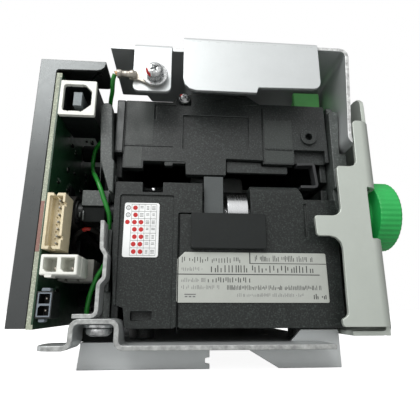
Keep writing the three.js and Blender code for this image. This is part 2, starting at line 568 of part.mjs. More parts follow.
const columnGroove = block(-18.9, -18.5, upperFace - 1, upperFace + 0.4, 63, 83);
const angleGroove = join(block(-9.4, -2.6, upperFace - 1, upperFace + 0.4, 80.4, 80.9),
  block(-9.4, -8.8, upperFace - 1, upperFace + 0.4, 75.6, 80.9));
const screwSeat = block(-2.2, 2.4, upperFace - 1, upperFace + 0.8, 80.9, 90);
add('upper_rear_cover', cut(join(upperCoverBody, faceBoss), facePanel, facePocket, bossHole,
  columnGroove, angleGroove, screwSeat), 'black');
add('cover_screw', turnedY([[0, 6.7], [1.1, 6.7], [1.6, 7.1], [1.6, 8.7], [0, 8.7]], 0.2, 83.1, 18),
  'steel');

// ---------------------------------------------------------------- front
const slotHalf = cardWidth / 2 + 1.2;
const plateSlot = block(cardCentre - slotHalf, cardCentre + slotHalf, frontPlateRear - 1, 178, 52.4, 58);
const frontPlate = slabY(outline([[-34, 14, 3], [52.5, 14, 3], [52.5, 94, 3], [-34, 94, 3]]),
  frontPlateRear,
  frontPlateRear + 3);
const plateHoles = [[-29, 20], [47.5, 20], [-29, 88], [47.5, 88]].map(([x, z]) => rodY(1.8, 170, 177, x,
  z, 16));
add('front_plate', cut(frontPlate, plateSlot, ...plateHoles), 'darkGrey');
const throatRear = frontPlateRear + 3 + 0.05;
const throatBody = slabY(outline([[-21, 40, 5], [47.6, 40, 5], [47.6, 71, 5], [-21, 71, 5]]), throatRear,
  throatFront);
const throatFlare = slabX(outline([[throatRear - 1, 53.1], [throatFront - 9, 53.1], [throatFront + 1, 46],
  [throatFront + 1, 65], [throatFront - 9, 57.7], [throatRear - 1, 57.7]]), cardCentre - slotHalf,
  cardCentre + slotHalf);
const thumbRecess = slabY(outline([[cardCentre - 10, 42.6, 4], [cardCentre + 10, 42.6, 4],
  [cardCentre + 10, 68.4, 4],
  [cardCentre - 10, 68.4, 4]]), throatFront - 7, throatFront + 1);
add('card_throat', cut(throatBody, throatFlare, thumbRecess), 'green');

// ---------------------------------------------------------------- drive
add('drive_motor', turnedX([[0, -17.2], [3.5, -17.2], [3.5, -16], [8.1, -16], [8.1, 14], [7.5, 15], [2.6,
  15], [2.6, 17],
  [0, 17]], motorAxis.y, motorAxis.z, 26).subtract(rodX(1.5, -19, -10, motorAxis.y, motorAxis.z, 14)),
    'midGrey');
add('motor_pulley', join(rodX(motorPulleyRadius, beltLeft - 0.4, beltRight + 0.4, motorAxis.y,
  motorAxis.z, 20),
  rodX(1.2, beltRight, -10.6, motorAxis.y, motorAxis.z, 12)), 'steel');

function beltLoop(radius) {
  const rearY = inputAxis.y;
  const frontY = driveSpacing[2];
  return outline([[rearY - radius, inputAxis.z - radius, radius - 0.001],
    [frontY + radius, inputAxis.z - radius, radius - 0.001], [frontY + radius, inputAxis.z + radius,
      radius - 0.001],
    [rearY - radius, inputAxis.z + radius, radius - 0.001]], 7);
}
add('timing_belt', slabX(beltLoop(pulleyRadius + gap + 1), beltLeft, beltRight,
  [beltLoop(pulleyRadius + gap)]),
  'rubber');

const shaftEnd = beltLeft - 1.4;
add('input_shaft', turnedX([[0, shaftEnd], [shaftRadius, shaftEnd], [shaftRadius, sleeveLeft],
  [sleeveRadius, sleeveLeft], [sleeveRadius, sleeveRight], [shaftRadius, sleeveRight], [shaftRadius, 61.6],
  [0, 61.6]], inputAxis.y, inputAxis.z, 28), 'steel');
add('input_pulley', turnedX([[shaftRadius + 0.1, beltLeft - 0.6], [pulleyRadius, beltLeft - 0.6],
  [pulleyRadius, beltRight + 0.6], [shaftRadius + 0.1, beltRight + 0.6], [shaftRadius + 0.1,
    beltLeft - 0.6]],
  inputAxis.y, inputAxis.z, 28), 'midGrey');
add('hand_knob', turnedX([[0, 61.9], [shaftRadius + 0.1, 61.9], [shaftRadius + 0.1, 52.4], [5.9, 52.4],
  [5.9, knobStart],
  [10.4, knobStart], [knobRadius, knobStart + 0.5], [knobRadius, knobFace - 0.7], [10.2, knobFace], [0,
    knobFace]], inputAxis.y,
  inputAxis.z, 36), 'green');

const rollerNames = ['rear', 'middle', 'front'];
driveSpacing.forEach((y, i) => {
  add(`drive_shaft_${rollerNames[i]}`, turnedX([[0, shaftEnd], [shaftRadius, shaftEnd],
    [shaftRadius, beltLeft - 0.5], [pulleyRadius, beltLeft - 0.5], [pulleyRadius, beltRight + 0.5],
    [shaftRadius, beltRight + 0.5], [shaftRadius, 50.6], [0, 50.6]], y, inputAxis.z, 20), 'steel');
  add(`drive_tyre_${rollerNames[i]}`, turnedX([[shaftRadius + 0.1, rollerLeft], [tyreRadius - 0.5,
    rollerLeft],
    [tyreRadius, rollerLeft + 0.5], [tyreRadius, rollerRight - 0.5], [tyreRadius - 0.5, rollerRight],
    [shaftRadius + 0.1, rollerRight], [shaftRadius + 0.1, rollerLeft]], y, inputAxis.z, 24), 'rubber');
  add(`pinch_roller_${rollerNames[i]}`, turnedX([[0, upperLeft + 0.4], [1.5, upperLeft + 0.4], [1.5,
    rollerLeft],
    [pinchRadius - 0.4, rollerLeft], [pinchRadius, rollerLeft + 0.4], [pinchRadius, rollerRight - 0.4],
    [pinchRadius - 0.4, rollerRight], [1.5, rollerRight], [1.5, upperRight - 0.4], [0, upperRight - 0.4]],
  y, pinchHeight, 20), 'midGrey');
});

// ---------------------------------------------------------------- shutter, contacts, head and lever
const shutterPlate = block(cardCentre - slotHalf - 2, cardCentre + slotHalf + 2, housingFront + 0.35,
  frontPlateRear - 0.35, 50.6, 59.4);
const shutterTail = block(cardCentre - 4, cardCentre + 4, housingFront + 0.35, frontPlateRear - 0.35, 59,
  88);
add('shutter', join(shutterPlate, shutterTail), 'steel');
const coilX = cardCentre;
const coil = block(coilX - 9, coilX + 9, 142, 160, upperTop + 0.1, 94);
const coilWindow = block(coilX - 10, coilX + 10, 145.4, 156.6, 85, 91.4);
const coilBobbin = block(coilX - 7.6, coilX + 7.6, 145, 157, 85.6, 90.8);
const plunger = rodY(1.6, 156, 169.9, coilX, 87.6, 16);
add('shutter_solenoid', join(cut(coil, coilWindow), coilBobbin, plunger), 'steel');
add('contact_block', join(block(contactX - 6, contactX + 6, contactY - 6, contactY + 6, 56.9, 66),
  rodZ(2, 65, 90.5, contactX, contactY, 16), rodZ(3.6, 88.5, 91, contactX, contactY, 18)), 'darkGrey');
add('magnetic_head', slabX(outline([[headY - 5, 41], [headY + 5, 41], [headY + 5, 51.4, 2.4], [headY + 2,
  cardBottom, 1],
  [headY - 2, cardBottom, 1], [headY - 5, 51.4, 2.4]]), headX - 3.8, headX + 3.8), 'steel');
const leverArm = slabX(outline([[leverAxis.y - 2.8, leverAxis.z - 3], [leverAxis.y + 2.8, leverAxis.z - 3,
  2],
  [leverAxis.y + 2.8, leverAxis.z + 2.6, 1.4], [27.4, 92], [22.2, 92.4, 1], [22.2, 95.6, 0.6], [20.2,
    95.6, 0.6],
  [20.2, 89.4, 1], [26.2, 88.4, 1]]), 41.1, 51);
add('release_lever', join(leverArm, rodX(1.5, 37.2, 42, leverAxis.y, leverAxis.z, 16)), 'green');

// ---------------------------------------------------------------- origin
// The part's origin is at the middle of its footprint, on the surface that the skirts stand on.
const rearmost = tabFace - 4.6;
unit.position.set(-(coverLeft + knobFace) / 2, -(rearmost + throatFront) / 2, 0);

export default reader;
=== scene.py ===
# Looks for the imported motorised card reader: materials, fine pieces, camera, floor and light.
# Lengths are in millimetres in the part's drawing frame, and at() turns them into the row frame in metres.
import json
import math
import random

import bmesh
import bpy
from mathutils import Matrix, Vector


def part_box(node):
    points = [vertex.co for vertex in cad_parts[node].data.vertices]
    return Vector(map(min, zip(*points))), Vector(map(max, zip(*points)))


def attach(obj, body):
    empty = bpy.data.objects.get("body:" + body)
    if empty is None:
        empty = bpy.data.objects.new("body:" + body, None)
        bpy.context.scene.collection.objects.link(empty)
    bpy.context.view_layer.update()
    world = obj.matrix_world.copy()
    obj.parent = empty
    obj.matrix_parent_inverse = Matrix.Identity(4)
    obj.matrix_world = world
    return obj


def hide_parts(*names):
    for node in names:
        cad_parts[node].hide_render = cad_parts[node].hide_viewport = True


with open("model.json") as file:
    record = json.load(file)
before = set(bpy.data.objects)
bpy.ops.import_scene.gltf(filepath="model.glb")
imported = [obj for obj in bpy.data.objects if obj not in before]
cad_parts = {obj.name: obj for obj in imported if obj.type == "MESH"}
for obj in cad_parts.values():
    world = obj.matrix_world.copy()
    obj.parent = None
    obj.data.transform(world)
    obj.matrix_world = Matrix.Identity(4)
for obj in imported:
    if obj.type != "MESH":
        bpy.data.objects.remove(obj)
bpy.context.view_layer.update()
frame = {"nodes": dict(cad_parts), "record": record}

MM = 0.001
COVER_X = -43.7  # the board cover's rear outer corner in the drawing frame, where its y is 0
cover_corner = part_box("board_cover")[0]
SHIFT = Vector((cover_corner.x / MM - COVER_X, cover_corner.y / MM, 0.0))
TO_ROW = Matrix.Scale(MM, 4) @ Matrix.Translation(SHIFT)
TO_DRAWING = TO_ROW.inverted()


def at(x, y, z):
    return TO_ROW @ Vector((x, y, z))


def edges_of(node):
    """Lowest and highest corner of a CAD node, in drawing millimetres."""
    low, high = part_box(node)
    return TO_DRAWING @ low, TO_DRAWING @ high


def add_object(name, data):
    thing = bpy.data.objects.new(name, data)
    bpy.context.scene.collection.objects.link(thing)
    return thing


# ------------------------ camera
# It stands low, about 100 mm behind the unit, and looks up at it and a little to the right.
camera_data = bpy.data.cameras.new("camera")
camera = add_object("camera", camera_data)
bpy.context.scene.camera = camera
UPWARD_TILT, TURN_RIGHT = 15.1, 4.5
camera_data.sensor_width = 36
camera_data.lens = 31.8
camera_data.clip_start = 0.003
camera_data.clip_end = 20
camera.location = at(0, -101, 16)
camera.rotation_euler = (math.radians(90 + UPWARD_TILT), 0, math.radians(-TURN_RIGHT))
bpy.context.scene.view_settings.view_transform = "Standard"


# ------------------------ material helpers
def new_material(name, roughness, metallic=0.0, specular=0.5):
    material = bpy.data.materials.new(name)
    material.use_nodes = True
    shader = material.node_tree.nodes["Principled BSDF"]
    shader.inputs["Roughness"].default_value = roughness
    shader.inputs["Metallic"].default_value = metallic
    shader.inputs["Specular IOR Level"].default_value = specular
    return material, material.node_tree, shader


def noise(tree, size, detail=2.0, harshness=0.5, stretch=(1, 1, 1)):
    """Noise whose features are about size millimetres across, longer along the stretched axes."""
    coordinates = tree.nodes.new("ShaderNodeTexCoord")
    mapping = tree.nodes.new("ShaderNodeMapping")
    mapping.inputs["Scale"].default_value = tuple(1 / (size * MM * s) for s in stretch)
    texture = tree.nodes.new("ShaderNodeTexNoise")
    texture.inputs["Scale"].default_value = 1.0
    texture.inputs["Detail"].default_value = detail
    texture.inputs["Roughness"].default_value = harshness
    tree.links.new(coordinates.outputs["Object"], mapping.inputs["Vector"])
    tree.links.new(mapping.outputs["Vector"], texture.inputs["Vector"])
    return texture.outputs["Fac"]


def spread(tree, value, low, high, start=0.3, end=0.7):
    """Stretches a noise value from start..end to low..high."""
    node = tree.nodes.new("ShaderNodeMapRange")
    node.inputs["From Min"].default_value = start
    node.inputs["From Max"].default_value = end
    node.inputs["To Min"].default_value = low
    node.inputs["To Max"].default_value = high
    tree.links.new(value, node.inputs["Value"])
    return node.outputs["Result"]


def colour_mix(tree, factor, first, second):
    """Mixes two colours or colour sockets: first where the factor is 0, second where it is 1."""
    node = tree.nodes.new("ShaderNodeMix")
    node.data_type = "RGBA"
    tree.links.new(factor, node.inputs[0])
    for socket, value in ((node.inputs[6], first), (node.inputs[7], second)):
        if isinstance(value, tuple):
            socket.default_value = (*value, 1)
        else:
            tree.links.new(value, socket)
    return node.outputs[2]


def add_bump(tree, shader, height, depth):
    """Bump of the given depth in millimetres."""
    node = tree.nodes.new("ShaderNodeBump")
    node.inputs["Strength"].default_value = 1.0
    node.inputs["Distance"].default_value = depth * MM
    tree.links.new(height, node.inputs["Height"])
    tree.links.new(node.outputs["Normal"], shader.inputs["Normal"])


# Sizes in millimetres of what the noise draws.
CLOUD_SIZE, GLOSS_SIZE, GRAIN_SIZE = 9, 3, 0.32  # in plastic
SPECK_SIZE, SHEEN_SIZE, ROLLING_SIZE = 0.6, 1.6, 0.5  # on metal


def moulded(name, colour, roughness, fleck, fleck_size, grain, lift, specular=0.5):
    """Moulded plastic: cloudy base, pale flecks of filler, and a spark-eroded surface grain."""
    material, tree, shader = new_material(name, roughness, specular=specular)
    darker = tuple(c * 0.8 for c in colour)
    paler = tuple(min(1, c * lift) for c in colour)
    clouds = spread(tree, noise(tree, CLOUD_SIZE, 3), 0, 1)
    base = colour_mix(tree, clouds, darker, colour)
    flecks = spread(tree, noise(tree, fleck_size, 2, 0.6), 0, fleck, 0.5, 0.72)
    tree.links.new(colour_mix(tree, flecks, base, paler), shader.inputs["Base Color"])
    gloss = spread(tree, noise(tree, GLOSS_SIZE, 4), roughness - 0.08, roughness + 0.08)
    tree.links.new(gloss, shader.inputs["Roughness"])
    add_bump(tree, shader, noise(tree, GRAIN_SIZE, 2, 0.6), grain)
    return material


def sheet_metal(name, colour, roughness, metallic, grain, stretch, contrast, uneven, blotch):
    """Plated sheet: pale and dark blotches, rolling marks, small scuffs and uneven gloss."""
    material, tree, shader = new_material(name, roughness, metallic)
    paler = tuple(min(1, c * (1 + contrast)) for c in colour)
    darker = tuple(c * (1 - contrast) for c in colour)
    blotches = spread(tree, noise(tree, blotch, 4, 0.6), 0, 1)
    base = colour_mix(tree, blotches, darker, paler)
    specks = spread(tree, noise(tree, SPECK_SIZE, 3, 0.7), 0, 0.5, 0.55, 0.75)
    dull = tuple(c * (1 - min(0.3, 2.5 * contrast)) for c in colour)
    tree.links.new(colour_mix(tree, specks, base, dull), shader.inputs["Base Color"])
    gloss = spread(tree, noise(tree, SHEEN_SIZE, 4, 0.6, stretch), roughness - uneven, roughness + uneven)
    tree.links.new(gloss, shader.inputs["Roughness"])
    add_bump(tree, shader, noise(tree, ROLLING_SIZE, 3, 0.6, stretch), grain)
    return material


# title, colour, roughness, metallic, grain depth, stretch of the rolling marks, contrast,
# unevenness of the gloss, blotch size
sheets = {
    "zinc": ("zinc plated sheet", (0.62, 0.645, 0.645), 0.46, 0.72, 0.002, (6, 1, 1), 0.02, 0.02, 5),
    "cut_edge": ("cut sheet edge", (0.40, 0.41, 0.40), 0.45, 0.5, 0.02, (1, 1, 1), 0.4, 0.08, 1.8),
    "wall_edge": ("worn sheet edge", (0.60, 0.61, 0.60), 0.45, 0.5, 0.02, (1, 1, 1), 0.45, 0.08, 1.3),
    "fold_mark": ("fold mark", (0.50, 0.52, 0.52), 0.5, 0.7, 0.002, (1, 1, 1), 0.1, 0.08, 5),
    "grey_zinc": ("dull zinc sheet", (0.54, 0.58, 0.53), 0.48, 0.6, 0.003, (1, 6, 1), 0.02, 0.03, 5),
    "steel": ("turned steel", (0.66, 0.67, 0.68), 0.26, 1.0, 0.002, (0.3, 4, 4), 0.05, 0.04, 5),
    "tin": ("tinned copper", (0.42, 0.39, 0.34), 0.36, 0.9, 0.03, (1, 1, 1), 0.4, 0.08, 1.6),
    "satin": ("satin black cover", (0.082, 0.087, 0.087), 0.29, 0.75, 0.0015, (1, 1, 1), 0.03, 0.02, 5),
    "silver_film": ("silver label film", (0.50, 0.52, 0.48), 0.42, 0.6, 0.002, (1, 1, 1), 0.03, 0.08, 5),
    "chrome": ("plated screw", (0.52, 0.53, 0.53), 0.2, 1.0, 0.004, (1, 1, 1), 0.5, 0.08, 1.4),
    "copper": ("copper strand", (0.80, 0.52, 0.30), 0.35, 1.0, 0.003, (1, 1, 1), 0.2, 0.08, 5),
    "black_metal": ("blackened steel", (0.03, 0.032, 0.032), 0.5, 0.4, 0.003, (1, 1, 1), 0.1, 0.08, 5),
    "dull_solder": ("dull solder", (0.30, 0.30, 0.28), 0.5, 0.8, 0.01, (1, 1, 1), 0.2, 0.08, 5),
}
# title, colour, roughness, share of flecks, fleck size, grain depth, lift of the flecks, and the specular
# level where it differs from 0.5
mouldings = {
    "black": ("black moulding", (0.014, 0.017, 0.016), 0.46, 0.9, 0.45, 0.03, 3.8),
    "rib": ("grained black moulding", (0.050, 0.058, 0.054), 0.45, 0.9, 0.6, 0.05, 2.4, 0.6),
    "lower_black": ("lower cover moulding", (0.011, 0.0135, 0.0125), 0.46, 0.9, 0.45, 0.03, 4.2, 0.38),
    "panel_black": ("smooth panel", (0.010, 0.0125, 0.012), 0.42, 0.2, 0.5, 0.006, 2.0, 0.3),
    # These two are paler than the cover to paint its sheen and highlights; the first also has a coarser
    # grain.
    "worn": ("coarse worn moulding", (0.024, 0.030, 0.027), 0.5, 0.7, 0.45, 0.04, 2.4, 0.6),
    "painted_sheen": ("smooth worn moulding", (0.06, 0.068, 0.066), 0.42, 0.5, 0.5, 0.01, 1.6, 0.7),
    # A near-black that paints the deep shade on parts inside the unit.
    "shade_black": ("deep shadowed moulding", (0.006, 0.0075, 0.007), 0.6, 0.2, 0.6, 0.01, 2.0, 0.12),
    "dark": ("smooth black moulding", (0.009, 0.011, 0.011), 0.4, 0.2, 0.6, 0.008, 2.4),
    "dark_grey": ("dark grey moulding", (0.035, 0.040, 0.041), 0.5, 0.3, 0.5, 0.02, 2.4),
    "grey": ("grey moulding", (0.26, 0.28, 0.27), 0.45, 0.3, 0.6, 0.01, 1.5),
    "white": ("white nylon", (0.90, 0.91, 0.84), 0.4, 0.2, 0.8, 0.006, 1.1),
    "beige": ("beige nylon", (0.80, 0.70, 0.48), 0.45, 0.3, 0.7, 0.008, 1.3),
    "green": ("green moulding", (0.018, 0.42, 0.085), 0.42, 0.2, 0.7, 0.006, 1.2),
    # The lever's green is partly its own pale green and partly painted light, for the light that reaches it
    # under the top bracket.
    "lever_green": ("pale green moulding", (0.26, 0.90, 0.27), 0.5, 0.2, 0.7, 0.006, 1.1),
    "wire_green": ("green insulation", (0.012, 0.20, 0.02), 0.38, 0.3, 0.8, 0.004, 1.6),
    "red": ("red insulation", (0.50, 0.03, 0.02), 0.4, 0.3, 0.8, 0.004, 1.4),
    "rubber": ("black rubber", (0.022, 0.020, 0.018), 0.8, 0.2, 0.7, 0.02, 2.0, 0.3),
    "board": ("green solder mask", (0.012, 0.050, 0.022), 0.35, 0.3, 1.2, 0.01, 1.8),
    "fibre": ("board edge fibre", (0.36, 0.39, 0.30), 0.6, 0.8, 0.5, 0.04, 1.9),
    "paper": ("white label", (0.93, 0.95, 0.94), 0.5, 0.1, 0.8, 0.003, 1.03),
    "ink": ("black ink", (0.03, 0.03, 0.03), 0.6, 0.2, 0.5, 0.002, 2.4),
    "red_ink": ("red ink", (0.52, 0.012, 0.012), 0.6, 0.5, 0.4, 0.002, 1.6),
    "copper_red": ("board edge stain", (0.30, 0.16, 0.13), 0.6, 0.5, 0.4, 0.02, 1.6),
    "silk": ("board print", (0.16, 0.2, 0.17), 0.6, 0.3, 0.5, 0.002, 1.4),
    "tongue_grey": ("socket tongue", (0.22, 0.25, 0.26), 0.5, 0.5, 0.4, 0.01, 1.5),
    "pale_blue": ("pale header edge", (0.20, 0.235, 0.27), 0.45, 0.3, 0.4, 0.004, 1.3),
    "cable_grey": ("flat cable jacket", (0.075, 0.085, 0.085), 0.5, 0.2, 0.6, 0.004, 1.4),
    "clip_grey": ("clip moulding", (0.03, 0.032, 0.033), 0.5, 0.3, 0.5, 0.01, 2),
    "shaded_white": ("aged white nylon", (0.40, 0.40, 0.36), 0.5, 0.2, 0.8, 0.006, 1.2),
    "pale_ink": ("grey ink", (0.16, 0.16, 0.16), 0.6, 0.2, 0.5, 0.002, 2.4),
}
materials = {key: sheet_metal(*values) for key, values in sheets.items()}
materials.update({key: moulded(*values) for key, values in mouldings.items()})


# ------------------------ shape helpers
SHARP_ANGLE = 37  # an edge that turns by more degrees than this gets rounded
WELD, CAD_WELD = 1e-4, 1e-3  # points nearer than this become one
FLAT_ANGLE, CAD_FLAT_ANGLE = 0.4, 0.6  # faces that differ by fewer degrees become one


def outline(corners, steps=6, closed=True):
    """Points round a shape whose corners are (a, b) or (a, b, fillet radius)."""
    points = []
    count = len(corners)
    for i, corner in enumerate(corners):
        here = Vector(corner[:2])
        radius = corner[2] if len(corner) > 2 else 0
        if radius <= 0 or (not closed and i in (0, count - 1)):
            points.append(tuple(here))
            continue
        back = (Vector(corners[i - 1][:2]) - here).normalized()
        ahead = (Vector(corners[(i + 1) % count][:2]) - here).normalized()
        half = math.acos(max(-1, min(1, back.dot(ahead)))) / 2
        reach = radius / math.tan(half)
        middle = here + (back + ahead).normalized() * (radius / math.sin(half))
        start = here + back * reach - middle
        end = here + ahead * reach - middle
        first = math.atan2(start.y, start.x)
        sweep = math.atan2(end.y, end.x) - first
        sweep = (sweep + math.pi) % (2 * math.pi) - math.pi
        for k in range(steps + 1):
            angle = first + sweep * k / steps
            points.append((middle.x + radius * math.cos(angle), middle.y + radius * math.sin(angle)))
    return points


def rounded_frame(a0, a1, b0, b1, radius):
    """Outline of a rectangle whose four corners have one radius."""
    return outline([(a0, b0, radius), (a1, b0, radius), (a1, b1, radius), (a0, b1, radius)])


def place(axis, a, b, along):
    """Drawing point for plane coordinates a, b and a position along the axis."""
    return {"x": (along, a, b), "y": (a, along, b), "z": (a, b, along)}[axis]


def prism(points, low, high, axis="y"):
    """Straight solid with the given outline, from low to high along the axis."""
    solid = bmesh.new()
    near = [solid.verts.new(place(axis, a, b, low)) for a, b in points]
    far = [solid.verts.new(place(axis, a, b, high)) for a, b in points]
    solid.faces.new(near)
    solid.faces.new(far[::-1])
    for i in range(len(points)):
        j = (i + 1) % len(points)
        solid.faces.new((near[i], near[j], far[j], far[i]))
    bmesh.ops.recalc_face_normals(solid, faces=solid.faces)
    return solid


def block(x0, x1, y0, y1, z0, z1):
    return prism([(x0, z0), (x1, z0), (x1, z1), (x0, z1)], y0, y1, "y")


def lathe(profile, axis, a, b, segments=48, shape=None):
    """Turned solid. The profile is (radius, position) pairs, from axis to axis or round a closed ring.

    If shape is given, it says how the radius changes with the angle.
    """
    solid = bmesh.new()
    rings = []
    for radius, along in profile:
        if radius <= 1e-6:
            rings.append([solid.verts.new(place(axis, a, b, along))])
            continue
        ring = []
        for k in range(segments):
            angle = 2 * math.pi * k / segments
            reach = radius if shape is None else shape(angle, radius, along)
            spot_a, spot_b = a + reach * math.cos(angle), b + reach * math.sin(angle)
            ring.append(solid.verts.new(place(axis, spot_a, spot_b, along)))
        rings.append(ring)
    for first, second in zip(rings, rings[1:]):
        for k in range(segments):
            j = (k + 1) % segments
            if len(first) == 1 and len(second) == 1:
                continue
            if len(first) == 1:
                solid.faces.new((first[0], second[k], second[j]))
            elif len(second) == 1:
                solid.faces.new((first[k], first[j], second[0]))
            else:
                solid.faces.new((first[k], first[j], second[j], second[k]))
    bmesh.ops.recalc_face_normals(solid, faces=solid.faces)
    return solid


def rounded(profile, radius=0.15, steps=3):
    """Rounds the inner corners of a turned profile."""
    corners = []
    for i, (r, along) in enumerate(profile):
        if 0 < i < len(profile) - 1:
            before = (Vector(profile[i - 1]) - Vector((r, along))).length
            after = (Vector(profile[i + 1]) - Vector((r, along))).length
            corners.append((r, along, min(radius, before * 0.45, after * 0.45)))
        else:
            corners.append((r, along, 0))
    return outline(corners, steps, False)


def as_object(solid, name="scratch"):
    mesh = bpy.data.meshes.new(name)
    solid.to_mesh(mesh)
    solid.free()
    return add_object(name, mesh)


def settled(piece):
    """The piece's mesh with its modifiers applied, as bmesh. The scratch object is removed."""
    graph = bpy.context.evaluated_depsgraph_get()
    graph.update()
    mesh = bpy.data.meshes.new_from_object(piece.evaluated_get(graph))
    solid = bmesh.new()
    solid.from_mesh(mesh)
    bpy.data.objects.remove(piece)
    bpy.data.meshes.remove(mesh)
    return solid


def merge(solid, distance, angle):
    """Joins doubled points and flat neighbouring faces."""
    bmesh.ops.remove_doubles(solid, verts=solid.verts, dist=distance)
    bmesh.ops.dissolve_limit(solid, angle_limit=math.radians(angle), verts=solid.verts, edges=solid.edges)


def combine(solid, tools, operation):
    """One boolean of the solid with each tool in turn. All of them are used up."""
    piece = as_object(solid)
    helpers = [as_object(tool) for tool in tools]
    for helper in helpers:
        modifier = piece.modifiers.new("combine", "BOOLEAN")
        modifier.operation = operation
        modifier.solver = "EXACT"
        modifier.object = helper
    result = settled(piece)
    for helper in helpers:
        bpy.data.objects.remove(helper)
    merge(result, WELD, FLAT_ANGLE)
    return result


def cut(solid, *tools):
    return combine(solid, tools, "DIFFERENCE")


def join(solid, *tools):
    return combine(solid, tools, "UNION")


def common(solid, *tools):
    return combine(solid, tools, "INTERSECT")


def heap(*solids):
    """Several separate solids as one bmesh, with no boolean."""
    whole = bmesh.new()
    for solid in solids:
        mesh = bpy.data.meshes.new("scratch")
        solid.to_mesh(mesh)
        solid.free()
        whole.from_mesh(mesh)
        bpy.data.meshes.remove(mesh)
    return whole


def soften(solid, width, segments=2):
    """Rounds the edges that turn by more than the sharp angle."""
    piece = as_object(solid)
    modifier = piece.modifiers.new("soften", "BEVEL")
    modifier.width = width
    modifier.segments = segments
    modifier.limit_method = "ANGLE"
    modifier.angle_limit = math.radians(SHARP_ANGLE)
    modifier.use_clamp_overlap = False
    modifier.miter_outer = "MITER_ARC"
    return settled(piece)


def show(solid, name, material, body="chassis", replaces=(), smooth=40):
    """Turns a solid in drawing millimetres into a finished piece that rides on a body."""
    solid.transform(TO_ROW)
    piece = as_object(solid, name)
    for polygon in piece.data.polygons:
        polygon.use_smooth = True
    piece.data.set_sharp_from_angle(angle=math.radians(smooth))
    piece.data.materials.append(materials[material])
    normals = piece.modifiers.new("normals", "WEIGHTED_NORMAL")
    normals.keep_sharp = True
    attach(piece, body)
    if replaces:
        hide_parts(*replaces)
    return piece


bodies = frame["record"]["behaviour"]["bodies"]
body_of = {node: body for body, nodes in bodies.items() for node in nodes}


def refine(node, material, width, tools=()):
    """A finished copy of a CAD node's shape with rounded edges, and with the tools cut out of it."""
    solid = bmesh.new()
    solid.from_mesh(frame["nodes"][node].data)
    solid.transform(TO_DRAWING)
    merge(solid, CAD_WELD, CAD_FLAT_ANGLE)
    low, high = edges_of(node)
    if tools:
        solid = cut(solid, *tools)
    solid = soften(solid, width)
    for vert in solid.verts:
        vert.co = [max(low[k], min(high[k], vert.co[k])) for k in range(3)]
    return show(solid, node + "_body", material, body_of[node], (node,))


# ------------------------ leads
def lead(name, points, radius, material, node=None):
    """A round lead along the points, in drawing millimetres, that may stand for a CAD node."""
    curve = bpy.data.curves.new(name, "CURVE")
    curve.dimensions = "3D"
    curve.bevel_depth = radius * MM
    curve.bevel_resolution = 6
    curve.use_fill_caps = True
    spline = curve.splines.new("POLY")
    spline.points.add(len(points) - 1)
    for knot, point in zip(spline.points, points):
        knot.co = (*at(*point), 1)
    piece = add_object(name, curve)
    curve.materials.append(materials[material])
    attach(piece, "chassis")
    if node:
        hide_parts(node)
    return piece


def between(first, second, t, start, end):
    """The point at t on the line that is at first for t = start, and at second for t = end."""
    return first * ((end - t) / (end - start)) + second * ((t - start) / (end - start))


def smooth_route(points, per_span=4):
    """Centripetal curve through the points, as the CAD lead has."""
    knots = [Vector(p) for p in points]
    knots = [knots[0] * 2 - knots[1], *knots, knots[-1] * 2 - knots[-2]]
    route = []
    for i in range(1, len(knots) - 2):
        p0, p1, p2, p3 = knots[i - 1 : i + 3]
        t0 = 0
        t1 = (p1 - p0).length ** 0.5
        t2 = t1 + (p2 - p1).length ** 0.5
        t3 = t2 + (p3 - p2).length ** 0.5
        for k in range(per_span):
            t = t1 + (t2 - t1) * k / per_span
            a1 = between(p0, p1, t, t0, t1)
            a2 = between(p1, p2, t, t1, t2)
            a3 = between(p2, p3, t, t2, t3)
            b1 = between(a1, a2, t, t0, t2)
            b2 = between(a2, a3, t, t1, t3)
            route.append(between(b1, b2, t, t1, t2))
    route.append(knots[-2])
    return route


TAB_FACE = -2.15  # y of the earth tab's rear face
BARREL_Y, BARREL_Z = TAB_FACE - 1.3, 83.7  # middle of the crimped barrel
earth_route = smooth_route([
    (-20.6, BARREL_Y, 83.5), (-21.1, -2.7, 82.4), (-21.5, -1, 81.4), (-22.1, 2, 80.8), (-23.2, 6, 80.6),
    (-24, 9.6, 79.8), (-24.1, 11, 76.5), (-24.6, 11.2, 72.5), (-26.4, 12.4, 69.4), (-28.9, 15.4, 67.2),
    (-29.9, 17.6, 63.6), (-29, 15.4, 59.4), (-27.2, 10, 56.6), (-25.5, 7, 53.6), (-24.4, 6, 51.3),
    (-22.9, 6, 47.4), (-21.8, 6.5, 44.6), (-21.4, 7.8, 42.8), (-21.5, 9.6, 40.4), (-21.8, 10.6, 36.5),
    (-21.9, 10.6, 31), (-22.7, 11, 28.4), (-24.4, 11.2, 25.3), (-25.9, 11.5, 21), (-26.5, 11.9, 18),
    (-26.8, 12.6, 14.6), (-26.7, 12.9, 11), (-26.6, 13, 7.6)])
earth = lead("earth_lead", earth_route, 0.65, "wire_green", "earth_wire")
red_route = smooth_route([
    (-35, 23.9, 35.8), (-34.6, 20.6, 36.2), (-33.4, 16.8, 37.6), (-31.2, 13.6, 39.1), (-28.6, 12.7, 40),
    (-26.3, 14.6, 39.4), (-25.4, 19.4, 37.6), (-25.2, 29, 35), (-25.2, 42, 33.8), (-25, 54, 33.2),
    (-24.4, 61, 33), (-23.3, 64.2, 33)])
red = lead("motor_lead", red_route, 0.6, "red", "red_lead")
# Black rubber over its two ends paints the deep shade they lie in, and leaves a short red stretch.
for name, stretch in (("header_end_shade", red_route[:15]), ("motor_end_shade", red_route[17:])):
    lead(name, stretch, 0.72, "rubber")


